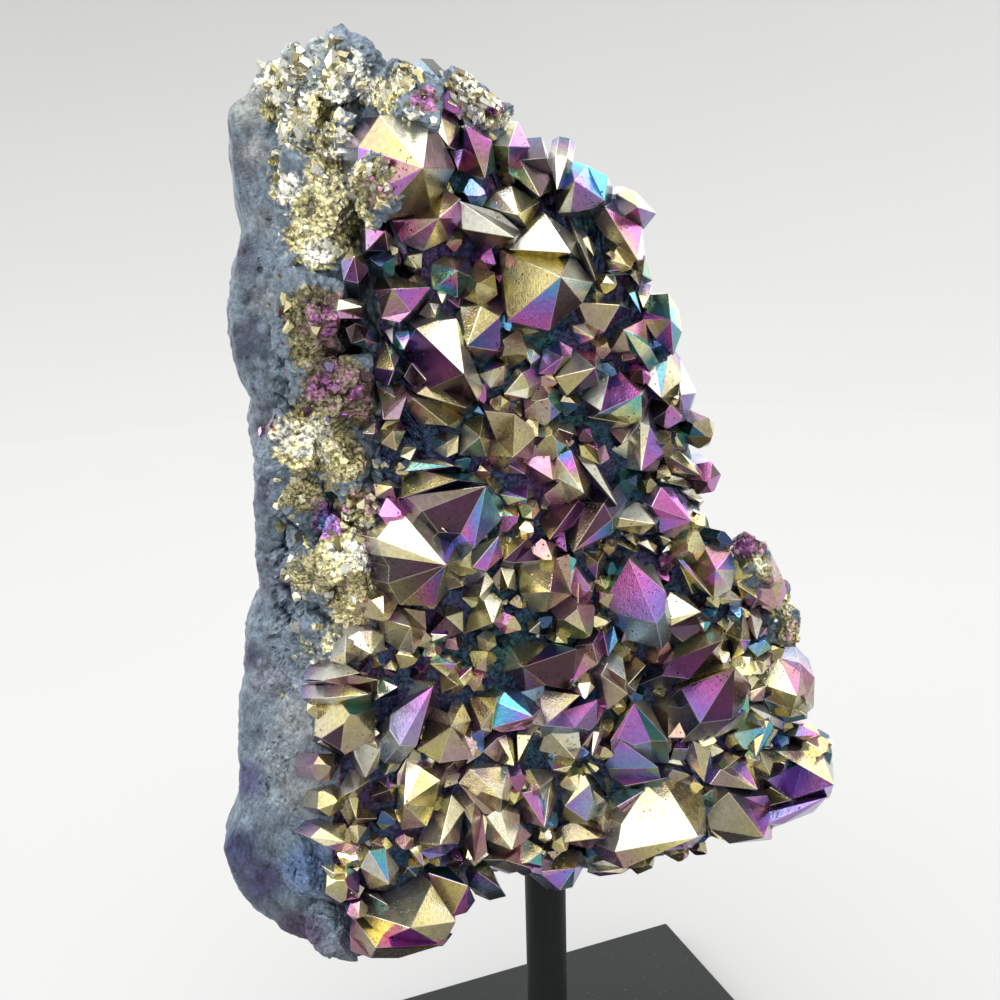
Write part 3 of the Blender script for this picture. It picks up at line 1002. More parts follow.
# %% [markdown]
# ## A crystal from its outline
# The corners of an outline are only seen, so their depth has to be worked out. The crystal gets an
# axis, from the middle of its foot to its tip, and the tip is set so far forward that the crystal
# is about as high as it is wide. Its foot corners are then put where their sight lines cross the
# plane at right angles to the axis. Facets with more corners are flattened, so that each is one
# plane that flashes as a whole. Below the foot, sides go down into the slab.

# %% Where an outlined crystal stands
FAN_HEIGHT = 1.1  # how high a crystal stands over its foot, in foot radii
FAN_LIFT = 0.3  # how far its foot stands out of the slab, in foot radii
LOWEST_TIP = 0.6  # the least of its height that points at the viewer
LEAST_TOWARD = 0.9  # the same, against its lean


def fan_stance(fan):
    """Where an outlined crystal stands: the middle of its foot, its radius, its tip, its axis."""
    x = sum(corner[0] for corner in fan.ring) / len(fan.ring)
    y = sum(corner[1] for corner in fan.ring) / len(fan.ring)
    spread = sum(math.hypot(corner[0] - x, corner[1] - y) for corner in fan.ring)
    radius = spread / len(fan.ring) * SHEET_UNIT
    middle = on_slab(x, y, FRONT_DEPTH - FAN_LIFT * radius - fan.rise * SHEET_UNIT)
    lean = math.hypot(fan.x - x, fan.y - y) * SHEET_UNIT
    height = FAN_HEIGHT * radius
    upright = math.sqrt(max(height ** 2 - lean ** 2, 0))
    toward = max(upright, LOWEST_TIP * height, LEAST_TOWARD * lean)
    tip = EYE + sight(fan.x, fan.y) * (((middle - EYE).dot(FORWARD) - toward) / FOCAL)
    return middle, radius, tip, (tip - middle).normalized()


print("height of the first outlined crystal:",
      round((fan_stance(FANS[0])[2] - fan_stance(FANS[0])[0]).length, 4))

# %% The facets of an outlined crystal
WIDEST_FACET = math.radians(135)
DARK_SHADE = 0.3
DARK_FOOT = 1.7  # the most that the foot of a dark facet is brighter than its tip
FOOT_THICKER = (0.02, 0.16)  # how much thicker the film is at the foot
EDGE_ON = 1e-12  # a facet that lies along the sight line can't be flattened
MOST_MOVED = 0.8  # how far a corner may be moved, in foot radii


def film_along(letters, dice):
    """Film, shade and haze at the tip, at this foot corner and at the next one."""
    found = [(*FILM[letter], HAZE.get(letter, 0.0)) for letter in letters]
    tip = found[0]
    if len(found) > 1:
        foot = found[1]
    else:
        drift = dice.uniform(*FOOT_THICKER)
        foot = (tip[0] + drift, tip[1] * dice.uniform(0.75, 1.0), tip[2] + dice.uniform(0, 0.5))
    if tip[1] < DARK_SHADE:
        foot = (foot[0], min(foot[1], DARK_FOOT * tip[1]), foot[2])
    after = found[2] if len(found) > 2 else (foot[0] + dice.uniform(-0.04, 0.04), *foot[1:])
    return tip, foot, after


def facet_runs(fan):
    """The foot corners of each facet: neighbours with the same letters share one flat face."""
    count = len(fan.ring)
    bearings = [math.atan2(y - fan.y, x - fan.x) for x, y, _ in fan.ring]
    starts = [k for k in range(count) if fan.ring[k][2] != fan.ring[k - 1][2]]
    starts = starts if len(starts) > 2 else list(range(count))
    runs = []
    for place, start in enumerate(starts):
        end = starts[(place + 1) % len(starts)]
        run = [start]
        swept = 0.0
        while run[-1] != end:
            after = (run[-1] + 1) % count
            swept += abs((bearings[after] - bearings[run[-1]] + math.pi) % (2 * math.pi) - math.pi)
            if swept > WIDEST_FACET and len(run) > 1:
                runs.append(run)
                run = [run[-1]]
                swept = 0.0
            run.append(after)
        runs.append(run)
    return runs


def flatten_run(foot, run, fan, tip, radius):
    """Moves the middle corners of a facet along their sight lines, onto the facet's plane."""
    normal = (foot[run[0]] - tip).cross(foot[run[-1]] - tip)
    for k in run[1:-1]:
        way = sight(fan.ring[k][0], fan.ring[k][1])
        if abs(way.dot(normal)) > EDGE_ON:
            spot = EYE + way * ((tip - EYE).dot(normal) / way.dot(normal))
            if (spot - foot[k]).length < MOST_MOVED * radius:
                foot[k] = spot


print("facets of the first outlined crystal:", len(facet_runs(FANS[0])))

# %% Grow the outlined crystals
FAN_SPREAD = 0.07  # how much wider the foot is than seen, so that neighbours meet
FAN_ROOT = (0.6, 0.004)  # the root's depth: in foot radii, and metres more
ROOT_LOOK = (FILM["k"][0], 0.35, 0.3)


def grow_fan(growth, fan, dice):
    """Adds a crystal whose foot corners are seen where they are listed."""
    middle, radius, tip, axis = fan_stance(fan)
    foot, looks, faces = [], [], []
    for x, y, _ in fan.ring:
        way = sight(x, y)
        foot.append(EYE + way * ((middle - EYE).dot(axis) / way.dot(axis)))
    runs = facet_runs(fan)
    for run in runs:
        flatten_run(foot, run, fan, tip, radius)
    foot = [corner + (corner - middle) * FAN_SPREAD for corner in foot]
    count = len(foot)
    root = [corner - axis * (FAN_ROOT[0] * radius + FAN_ROOT[1]) for corner in foot]
    turning = sum((foot[k] - middle).cross(foot[(k + 1) % count] - middle).dot(axis)
                  for k in range(count))
    order = 1 if turning > 0 else -1
    for run in runs:
        at_tip, at_foot, at_next = film_along(fan.ring[run[0]][2], dice)
        shares = [place / (len(run) - 1) for place in range(len(run))]
        rim = [tuple(a + (b - a) * share for a, b in zip(at_foot, at_next)) for share in shares]
        faces.append((0, (0, *[1 + k for k in run])[::order]))
        looks.append([at_tip, *rim][::order])
        for (k, here), (after, there) in zip(zip(run, rim), zip(run[1:], rim[1:])):
            side = [(film + 0.1, shade * 0.85, haze + 0.35) for film, shade, haze in (here, there)]
            faces.append((1, (1 + k, 1 + count + k, 1 + count + after, 1 + after)[::order]))
            looks.append([side[0], ROOT_LOOK, ROOT_LOOK, side[1]][::order])
    faces.append((2, tuple(range(2 * count, count, -1))[::order]))
    looks.append([ROOT_LOOK] * count)
    growth.add([tip] + foot + root, faces, looks)
    return middle, radius


for fan in FANS:
    taken.append(grow_fan(big_points, fan, dice_for(fan)))
print("faces with the outlined crystals:", len(big_points.faces))

# %% [markdown]
# ## Small crystals between them
# Between the big crystals the slab bristles with small ones. They fill every gap, lean all ways
# and sit deeper. Darts are thrown at the front of the slab, and a small crystal grows where a dart
# lands in a gap. Each small crystal has the films of one pair of letters, so it looks like one
# crystal and not like confetti. A few more grow on the flanks of the listed points.

# %% Outlines of the slab
RIM_OUTLINE = (
    (335, 32), (290, 48), (252, 76), (230, 102), (228, 122), (234, 175), (245, 225), (233, 300),
    (236, 345), (254, 400), (257, 465), (258, 530), (260, 592), (248, 640), (248, 690), (240, 745),
    (238, 800), (223, 850), (232, 884), (262, 915), (300, 936), (345, 958), (400, 945), (445, 905),
    (490, 868), (560, 866), (640, 862), (690, 846), (755, 818), (798, 780), (790, 720), (775, 650),
    (762, 572), (700, 540), (690, 480), (672, 400), (655, 320), (625, 240), (580, 185), (520, 140),
    (470, 100), (425, 78), (380, 58),
)
FRONT_OUTLINE = (
    (395, 78), (376, 110), (366, 180), (368, 250), (374, 330), (380, 420), (376, 500), (378, 560),
    (374, 620), (336, 690), (322, 760), (322, 830), (338, 890), (370, 925), (430, 922), (465, 880),
    (520, 860), (600, 862), (680, 856), (770, 815), (812, 775), (795, 700), (775, 640), (768, 575),
    (705, 530), (700, 440), (675, 380), (662, 300), (635, 235), (600, 192), (545, 172), (505, 128),
    (450, 92),
)
print("outline corners:", len(RIM_OUTLINE), len(FRONT_OUTLINE))

# %% Fill the gaps


def inside(x, y, outline):
    """True where x, y is inside an outline of the sheet."""
    crossings = 0
    for (ax, ay), (bx, by) in zip(outline, outline[1:] + outline[:1]):
        if (ay > y) != (by > y) and x < ax + (y - ay) * (bx - ax) / (by - ay):
            crossings += 1
    return crossings % 2 == 1


FILL_TRIES = 12000
FILL_FIELD = (300, 840, 60, 950)  # the part of the sheet that the darts are thrown at
FILL_SIZES = (0.0019, 0.0050)
FILL_SPACING = 0.71  # how close two roots may be, against their two radii together
FILL_LEAN = 0.34
FILL_LIFT = (-0.0012, 0.001)
FILL_ROOT = 0.009
LETTERED = 0.85  # the share of small crystals that take their letters from a pair
FILL_PAIRS = ("oz", "oy", "sc", "zk", "kj", "ob", "dm", "bc", "ku", "os", "kz", "wy")
BROKEN_CORNER = (405, 122)  # the top left of the front is broken and has no small crystals
small_points = Growth()
dice = random.Random(11)
BOX = 0.012  # roots are kept by boxes of this size, so that only near ones are compared
boxes = {}


def box_of(spot):
    return int(spot.x // BOX), int(spot.z // BOX)


def near_roots(spot):
    """The crystals rooted near a place."""
    across, up = box_of(spot)
    return [root for dx in (-1, 0, 1) for dz in (-1, 0, 1)
            for root in boxes.get((across + dx, up + dz), ())]


def remember(root, radius):
    boxes.setdefault(box_of(root), []).append((root, radius))


for root, radius in taken:
    remember(root, radius)
filled = 0
for _ in range(FILL_TRIES):
    x, y = dice.uniform(*FILL_FIELD[:2]), dice.uniform(*FILL_FIELD[2:])
    if not inside(x, y, FRONT_OUTLINE) or (x < BROKEN_CORNER[0] and y < BROKEN_CORNER[1]):
        continue
    radius = FILL_SIZES[0] + (FILL_SIZES[1] - FILL_SIZES[0]) * dice.random() ** 1.2
    spot = on_slab(x, y, FRONT_DEPTH)
    if any((spot - root).length < FILL_SPACING * (radius + other) for root, other in near_roots(spot)):
        continue
    lean = Vector((dice.gauss(0, FILL_LEAN), -1, dice.gauss(0, FILL_LEAN))).normalized()
    lift = Vector((0, -dice.uniform(*FILL_LIFT), 0))
    pair = dice.choice(FILL_PAIRS)
    letters = "".join(dice.choice(pair) for _ in range(6)) if dice.random() < LETTERED else ""
    grow_point(small_points, spot + lift, lean, radius, dice.uniform(0, 120), letters, dice,
               dull=dice.uniform(0.8, 1.25), root_depth=FILL_ROOT, shoulder=dice.uniform(0.2, 0.9))
    remember(spot, radius)
    filled += 1
print("small crystals in the gaps:", filled)

# %% Small crystals on the flanks of the listed points
UNITS_EACH = 14  # a point has one small crystal for so many units of its radius
for spec in POINTS:
    root, axis, radius = stance(spec)
    across = (RIGHT - axis * RIGHT.dot(axis)).normalized()
    upward = axis.cross(across)
    dice = dice_for(spec)
    for _ in range(int(spec.radius / UNITS_EACH)):
        angle = dice.uniform(0, 2 * math.pi)
        outward = across * math.cos(angle) + upward * math.sin(angle)
        size = radius * dice.uniform(0.16, 0.36)
        place = root + outward * (radius * 0.86) + axis * (radius * dice.uniform(-0.1, 0.35))
        lean = (axis + outward * dice.uniform(0.2, 1.0)).normalized()
        grow_point(small_points, place, lean, size, dice.uniform(0, 120), "", dice,
                   root_depth=size * 1.5, shoulder=dice.uniform(0.2, 1.0))
print("faces on the small crystals:", len(small_points.faces))

# %% [markdown]
# ## The coated quartz
# The film is a mirror with a colour of its own, so the shader is nearly all metal. The colour
# drifts across a facet in soft bands. The facets are not perfect: they are faintly rippled and
# mottled, with tiny pits and milky patches. The edges are narrow bevels, a little worn.

# %% Finish of the coated quartz
FILM_RAMP = [
    (0.00, (0.88, 0.88, 0.84)), (0.06, (0.96, 0.93, 0.74)), (0.16, (0.85, 0.75, 0.38)),
    (0.27, (0.42, 0.38, 0.15)), (0.37, (0.35, 0.28, 0.17)), (0.46, (0.35, 0.17, 0.21)),
    (0.54, (0.56, 0.14, 0.46)), (0.63, (0.34, 0.16, 0.55)), (0.73, (0.15, 0.25, 0.64)),
    (0.84, (0.08, 0.42, 0.50)), (0.93, (0.20, 0.50, 0.36)), (1.00, (0.52, 0.54, 0.26)),
]
MILKY = (0.56, 0.57, 0.53, 1)
WORN = (0.80, 0.74, 0.66, 1)
# How fine each pattern of the film is, in repeats to the metre
CLOUDS, RIPPLES, BLOTCHES, MOTTLE, MILK, SHINE, GRAIN = 55, 420, 170, 1300, 240, 90, 2600
PITS, PIT_PATCHES = 900, 130


def coated_quartz(name, edge_wear=0.0):
    """The film over quartz. edge_wear pales it, for the narrow worn edges."""
    finish = Finish(name, Metallic=0.92)
    place = finish.place()
    # The colour drifts across a facet
    clouds = finish.noise(CLOUDS, 2, at=place)
    ripples = finish.noise(RIPPLES, 3, at=place)
    tone = finish.attribute("film") + (clouds - 0.5) * 0.22 + (ripples - 0.5) * 0.10
    colour = finish.ramp(tone, FILM_RAMP)
    # It is mottled, and here and there pitted or milky
    shade = finish.attribute("shade") * (0.8 + 0.4 * finish.noise(BLOTCHES, 2, at=place))
    shade = shade * (0.45 + 1.15 * finish.noise(MOTTLE, 4, 0.75, at=place))
    pit_patch = finish.step(finish.noise(PIT_PATCHES, 1, at=place), 0.46, 0.62)
    pits = (1 - finish.step(finish.cells(PITS, at=place), 0.10, 0.24)) * pit_patch
    hazy = (finish.attribute("haze") * (0.5 + finish.noise(MILK, 4, 0.7, at=place))).at_most(0.9)
    colour = finish.mix(hazy, colour, MILKY)
    colour = finish.dim(colour, shade * (1 - 0.6 * pits))
    if edge_wear:
        colour = finish.mix(edge_wear, colour, WORN)
    # Pits and milky patches are duller than the rest
    rough = 0.12 + 0.16 * finish.step(finish.noise(SHINE, 3, at=place), 0.45, 0.75) + 0.35 * pits
    rough = rough + 0.2 * hazy
    height = finish.noise(GRAIN, 3, at=place) * 0.6 + ripples * 0.9 - pits * 1.6
    finish.drive(Base_Color=colour, Roughness=rough + 0.2 * edge_wear,
                 Normal=finish.bump(height, 0.00014, 0.55))
    return finish.material


quartz_face = coated_quartz("coated_quartz_faces")
quartz_edge = coated_quartz("coated_quartz_edges", edge_wear=0.25)
print("crystal finishes:", quartz_face.name, quartz_edge.name)

# %% Ease and finish the crystals
SHARP = math.radians(12)
BIG_EDGE, SMALL_EDGE, GRAIN_EDGE = 0.00010, 0.00007, 0.00005


def finish_crystals(growth, name, edge_width):
    """Builds the mesh, eases its edges and gives the edges their own finish."""
    thing = growth.build(name)
    thing.data.materials.append(quartz_face)
    thing.data.materials.append(quartz_edge)
    ease = thing.modifiers.new("eased edges", "BEVEL")
    ease.width = edge_width
    ease.segments = 1
    ease.limit_method = "ANGLE"
    ease.angle_limit = SHARP
    ease.material = 1
    ease.use_clamp_overlap = True
    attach(thing, "root")
    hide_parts("amethyst_cluster")


finish_crystals(big_points, "big_crystals", BIG_EDGE)
finish_crystals(small_points, "small_crystals", SMALL_EDGE)
print("crystals finished")

# %% [markdown]
# ## The rock
# The slab itself shows at the left, where it was broken off, at the back and all round the rim.
# It is made as rings of points from the middle of the front, over the rim, to the middle of the
# back, and then roughened along its own normals. A real relief is used and not only a bump, because
# the rim is seen against the pale background and has to be uneven there.

# %% Rock surface
FRONT_EDGE_DEPTH = -0.015
RIM_DEPTH = 0.0
BACK_DEPTH = 0.014
ROCK_RAYS = 640
SOFTENINGS = 10
ROCK_CENTRE = on_slab(470, 520, RIM_DEPTH)


def radius_by_bearing(outline, depth, rays):
    """A star-shaped outline as its radius at each of the rays."""
    found = []
    for x, y in outline:
        spot = on_slab(x, y, depth)
        found.append((math.atan2(spot.z - ROCK_CENTRE.z, spot.x - ROCK_CENTRE.x),
                      math.hypot(spot.x - ROCK_CENTRE.x, spot.z - ROCK_CENTRE.z)))
    found.sort()
    return np.interp(rays, [b for b, _ in found], [r for _, r in found], period=2 * math.pi)


def rock_grid():
    """Points of the rock as an array: steps from front to back, by rays round it."""
    rays = np.linspace(-math.pi, math.pi, ROCK_RAYS, endpoint=False)
    front = radius_by_bearing(FRONT_OUTLINE, FRONT_DEPTH, rays)
    rim = radius_by_bearing(RIM_OUTLINE, RIM_DEPTH, rays)
    # Each ring: its radii, its depth, and the steps from it to the next ring
    rings = [(front * 0.02, FRONT_DEPTH, 10), (front * 0.5, FRONT_DEPTH, 12),
             (front * 0.93, FRONT_DEPTH, 7), (front, FRONT_EDGE_DEPTH, 16)]
    for share in (0.35, 0.7):
        rings.append((front + (rim - front) * share,
                      FRONT_EDGE_DEPTH + (RIM_DEPTH - FRONT_EDGE_DEPTH) * share, 16))
    rings += [(rim, RIM_DEPTH, 12), (rim * 0.985, BACK_DEPTH * 0.5, 12),
              (rim * 0.93, BACK_DEPTH * 0.85, 12), (rim * 0.78, BACK_DEPTH, 16),
              (rim * 0.5, BACK_DEPTH, 14), (rim * 0.02, BACK_DEPTH, 1)]
    rows = []
    for radii, depth, _ in rings:
        rows.append(np.stack([ROCK_CENTRE.x + radii * np.cos(rays), np.full(ROCK_RAYS, depth),
                              ROCK_CENTRE.z + radii * np.sin(rays)], 1))
    grid = []
    for (row, after), (_, _, steps) in zip(zip(rows, rows[1:]), rings):
        grid += [row + (after - row) * k / steps for k in range(steps)]
    return np.array(grid + [rows[-1]])


def soften(grid, times):
    """Rounds the creases between the rings."""
    for _ in range(times):
        grid[1:-1] = grid[1:-1] * 0.5 + (grid[:-2] + grid[2:]) * 0.25
    return grid


rock_points = soften(rock_grid(), SOFTENINGS)
slopes_down = np.gradient(rock_points, axis=0)
slopes_round = np.roll(rock_points, -1, axis=1) - np.roll(rock_points, 1, axis=1)
rock_normals = np.cross(slopes_round, slopes_down)
rock_normals /= np.linalg.norm(rock_normals, axis=2, keepdims=True) + 1e-12
rock_normals *= np.sign((rock_normals * (rock_points - rock_points.mean((0, 1)))).sum())
print("rock points:", rock_points.shape[0] * rock_points.shape[1])

# %% Places on the sheet for many points at once


def many_on_sheet(spots):
    """Where an array of points is seen on the sheet, as an array of x and one of y."""
    sight = spots - np.array(EYE)
    scale = FOCAL / (sight @ np.array(FORWARD))
    return (SHEET / 2 + (sight @ np.array(RIGHT)) * scale,
            SHEET / 2 - (sight @ np.array(UP)) * scale)


def smooth(value, low, high):
    """0 below low, 1 above high, and smooth between."""
    share = np.clip((value - low) / (high - low), 0, 1)
    return share * share * (3 - 2 * share)


REACH_BEHIND_RIM = 0.003
flat_points = rock_points.reshape(-1, 3)
flat_normals = rock_normals.reshape(-1, 3)
sheet_x, sheet_y = many_on_sheet(flat_points)
facing_eye = (flat_normals * (flat_points - np.array(EYE))).sum(1) < 0
front_side = facing_eye & (flat_points[:, 1] < RIM_DEPTH + REACH_BEHIND_RIM)
print("rock points seen from the eye:", int(front_side.sum()))

# %% Relief of the rock
WALL_LEFT = (262, 284)  # where the flat rim ends and the broken wall starts, on the sheet
WALL_FOOT = (600, 700)
broken_wall = np.where(front_side, smooth(sheet_x, *WALL_LEFT) * (1 - smooth(sheet_y, *WALL_FOOT)), 0)
back_share = np.clip((flat_points[:, 1] - FRONT_DEPTH) / (BACK_DEPTH - FRONT_DEPTH), 0, 1)
# Near the middles the mesh is drawn out along its rays, and there it carries no fine relief
drawn_out = np.linalg.norm(slopes_down, axis=2) / np.linalg.norm(slopes_round / 2, axis=2)
fine_share = 1 - smooth(drawn_out.ravel(), 2.0, 4.0)
# Each kind of relief: how many to the metre, and how high in metres
SWELLS = (32, 0.0022)
KNOBS = (130, 0.0007)
HACKLES = (520, 0.0002)
DENTS = (480, 0.0016)
COARSE_GRAINS = (230, 0.0009)
FINE_GRAINS = (560, 0.0003)
GRAIN_TILT = 0.55
GRAINS_ON_SKIN, GRAINS_ON_WALL = 0.18, 0.9


def grain_at(spot, per_metre, tilt, step):
    """Flat grains: each cell of space stands at a level and slopes a way of its own."""
    distances, centres = noise.voronoi(spot * per_metre)
    crack = max(0.0, 1 - (distances[1] - distances[0]) * 5)
    lean = noise.cell_vector(centres[0] * 37) - Vector((0.5, 0.5, 0.5))
    level = noise.cell(centres[0] * 53) * 0.5
    slope = (spot * per_metre - centres[0]).dot(lean) * tilt / per_metre
    return step * (level - 0.6 * crack) + slope, level - 0.8 * crack


def relief_at(spot, back, wall, fine):
    """How far the rock stands proud at a place, in swells and in detail, and its grain's level."""
    swell = noise.noise(spot * SWELLS[0]) * SWELLS[1] * back
    knobs = noise.noise(spot * KNOBS[0]) + noise.fractal(spot * 273, 1.0, 2.1, 3) * 0.48 * fine
    hackles = noise.fractal(spot * HACKLES[0], 0.8, 2.2, 3) * HACKLES[1]
    dents = -DENTS[1] * max(0.0, noise.noise(spot * DENTS[0]) - 0.25)
    coarse, level = grain_at(spot, COARSE_GRAINS[0], GRAIN_TILT, COARSE_GRAINS[1])
    small, small_level = grain_at(spot, FINE_GRAINS[0], GRAIN_TILT, FINE_GRAINS[1])
    grains = (coarse + small) * (GRAINS_ON_SKIN + GRAINS_ON_WALL * wall)
    detail = knobs * KNOBS[1] + (hackles + dents + grains) * fine
    return swell, detail, (level + small_level) * fine


swells, relief, rock_levels = np.array([
    relief_at(Vector(spot), back, wall, fine)
    for spot, back, wall, fine in zip(flat_points, back_share, broken_wall, fine_share)]).T
rough_points = flat_points + flat_normals * (swells + relief)[:, None]
print("relief in mm:", round(relief.min() * 1000, 2), "to", round(relief.max() * 1000, 2))

# %% Rough rock
CRUMBLY = 0.3  # where the wall's share is more, the faces stay flat
rock_mesh = bpy.data.meshes.new("rock")
rock_steps = rock_points.shape[0]
rock_faces = []
for i in range(rock_steps - 1):
    for j in range(ROCK_RAYS):
        after = (j + 1) % ROCK_RAYS
        rock_faces.append((i * ROCK_RAYS + j, (i + 1) * ROCK_RAYS + j,
                           (i + 1) * ROCK_RAYS + after, i * ROCK_RAYS + after))
rock_faces.append(tuple(range(ROCK_RAYS)))
rock_faces.append(tuple((rock_steps - 1) * ROCK_RAYS + j for j in reversed(range(ROCK_RAYS))))
rock_mesh.from_pydata(rough_points.tolist(), [], rock_faces)
crumbly = np.array([broken_wall[face[0]] > CRUMBLY for face in rock_faces])
rock_mesh.polygons.foreach_set("use_smooth", ~crumbly)
rock = bpy.data.objects.new("rock", rock_mesh)
bpy.context.scene.collection.objects.link(rock)
print("rock faces:", len(rock_faces))

# %% [markdown]
# ## Colours of the rock by hand
# The rock is steel blue where it is bare, and the film colours only some of it. Its colours are
# brushed on in soft round dabs, as a painter would: a place on the sheet, a size and a colour.

# %% Dabs of colour
STEEL = (0.13, 0.17, 0.21)
# Each dab of bare rock: x, y, radius, colour
ROCK_DABS = (
    (238, 160, 20, (0.07, 0.08, 0.10)), (242, 260, 22, (0.06, 0.07, 0.10)),
    (246, 340, 22, (0.05, 0.06, 0.09)), (262, 300, 16, (0.16, 0.18, 0.20)),
    (262, 220, 16, (0.17, 0.19, 0.21)), (256, 150, 16, (0.19, 0.20, 0.21)),
    (250, 105, 24, (0.27, 0.29, 0.28)), (285, 72, 28, (0.29, 0.32, 0.32)),
    (318, 46, 22, (0.27, 0.31, 0.32)), (262, 420, 20, (0.11, 0.12, 0.16)),
    (262, 500, 22, (0.09, 0.11, 0.15)), (262, 580, 22, (0.11, 0.13, 0.17)),
    (246, 660, 16, (0.03, 0.03, 0.07)), (270, 680, 24, (0.17, 0.19, 0.23)),
    (300, 720, 26, (0.22, 0.24, 0.25)), (280, 760, 26, (0.19, 0.22, 0.25)),
    (300, 790, 24, (0.20, 0.22, 0.23)), (245, 780, 20, (0.07, 0.08, 0.16)),
    (238, 850, 24, (0.04, 0.05, 0.11)), (262, 880, 24, (0.05, 0.05, 0.11)),
    (300, 935, 26, (0.07, 0.05, 0.10)), (350, 955, 26, (0.14, 0.16, 0.20)),
    (308, 868, 28, (0.08, 0.13, 0.24)),
)
# Each dab of film: x, y, radius, film letter, how much it covers the rock
FILM_DABS = (
    (300, 120, 38, "y", 0.6), (345, 90, 40, "w", 0.5), (330, 150, 30, "y", 0.7),
    (276, 78, 22, "w", 0.7), (272, 108, 14, "s", 0.8), (322, 112, 16, "s", 0.9),
    (318, 176, 15, "b", 0.9), (330, 215, 48, "o", 1.0), (305, 202, 14, "c", 1.0),
    (318, 252, 20, "y", 1.0), (296, 238, 14, "b", 1.0), (315, 320, 40, "d", 1.0),
    (322, 318, 26, "m", 1.0), (306, 352, 18, "o", 1.0), (335, 395, 44, "d", 1.0),
    (340, 392, 30, "m", 1.0), (362, 412, 14, "r", 1.0), (300, 440, 34, "y", 1.0),
    (342, 460, 28, "o", 1.0), (303, 495, 22, "b", 1.0), (362, 505, 20, "m", 1.0),
    (350, 555, 38, "y", 1.0), (352, 602, 30, "b", 1.0), (305, 575, 26, "o", 0.8),
    (330, 520, 20, "u", 0.8), (320, 645, 30, "s", 0.5), (350, 70, 24, "y", 0.6),
    (272, 925, 22, "m", 0.35), (300, 690, 22, "w", 0.3), (330, 760, 26, "o", 0.5),
    (285, 185, 20, "w", 0.7), (378, 182, 26, "c", 1.0), (384, 168, 12, "y", 1.0),
    (382, 96, 18, "y", 1.0), (402, 80, 14, "w", 0.9), (425, 100, 16, "m", 1.0),
    (465, 84, 15, "w", 1.0), (490, 106, 17, "p", 1.0), (507, 122, 9, "y", 1.0),
    (748, 548, 20, "p", 1.0), (774, 576, 18, "m", 1.0), (782, 606, 16, "y", 1.0),
    (790, 636, 18, "c", 1.0), (760, 566, 12, "y", 0.9),
)
BEHIND_RIM = 0.004  # how far behind the rim the dabs reach
# Deep between the crystals the film is nearly black: x, y, radius
DEEP_DABS = ((495, 200, 90), (520, 320, 140), (530, 450, 150), (560, 600, 160), (500, 720, 170),
             (620, 700, 190), (430, 840, 100), (700, 760, 120))


def dab_rock(spots, levels, reached, deep_dabs):
    """Colours, film, shade and cover for points of the rock or of its stubs, where reached."""
    x, y = many_on_sheet(spots)
    tint = np.tile(STEEL, (len(spots), 1))
    film, shade, cover = np.full(len(spots), 0.3), np.full(len(spots), 0.8), np.zeros(len(spots))
    for dab_x, dab_y, radius, colour in ROCK_DABS:
        weight = np.exp(-(((x - dab_x) ** 2 + (y - dab_y) ** 2) / radius ** 2) ** 2) * reached
        tint = tint + (np.array(colour) - tint) * weight[:, None]
    for dab_x, dab_y, radius, letter, amount in FILM_DABS:
        weight = np.exp(-(((x - dab_x) ** 2 + (y - dab_y) ** 2) / radius ** 2) ** 2) * reached
        film = film + (FILM[letter][0] - film) * weight
        shade = shade + (FILM[letter][1] - shade) * weight
        cover = cover + (amount - cover) * weight
    deep = spots[:, 1] < FRONT_DEPTH + BEHIND_RIM
    for dab_x, dab_y, radius in deep_dabs:
        near = ((x - dab_x) ** 2 + (y - dab_y) ** 2 < radius ** 2) & deep
        film, shade, cover = (np.where(near, value, old) for value, old in
                              ((FILM["k"][0], film), (FILM["k"][1] * 0.75, shade), (1.0, cover)))
    tint = tint * (1.15 + 0.35 * levels[:, None])
    return tint, film + 0.16 * levels, shade * (1 + 0.55 * levels), cover + 0.25 * levels


def store_dabs(mesh, spots, relief, levels, reached, deep_dabs=()):
    """Keeps the dabs and the relief, in mm, at the points of the mesh, for its finish."""
    tint, film, shade, cover = dab_rock(spots, levels, reached, deep_dabs)
    layer = mesh.attributes.new("tint", "FLOAT_COLOR", "POINT")
    layer.data.foreach_set("color", np.c_[tint, np.ones(len(tint))].astype(np.float32).ravel())
    for key, values in (("film", film), ("shade", shade), ("cover", cover), ("relief", relief)):
        layer = mesh.attributes.new(key, "FLOAT", "POINT")
        layer.data.foreach_set("value", np.asarray(values, np.float32))


in_reach = facing_eye & (rough_points[:, 1] < RIM_DEPTH + BEHIND_RIM)
store_dabs(rock_mesh, rough_points, relief * 1000, rock_levels, in_reach, DEEP_DABS)
print("dabs:", len(ROCK_DABS) + len(FILM_DABS) + len(DEEP_DABS))

# %% Finish of the rock and its breaks


NAVY = (0.012, 0.018, 0.05, 1)
# How fine each pattern of the rock is, in repeats to the metre
ROCK_CLOUDS, CRACKLE, ROCK_GRAIN, ROCK_PITS, ROCK_CHIPS, PIT_BENDS = 70, 650, 2300, 430, 1100, 300


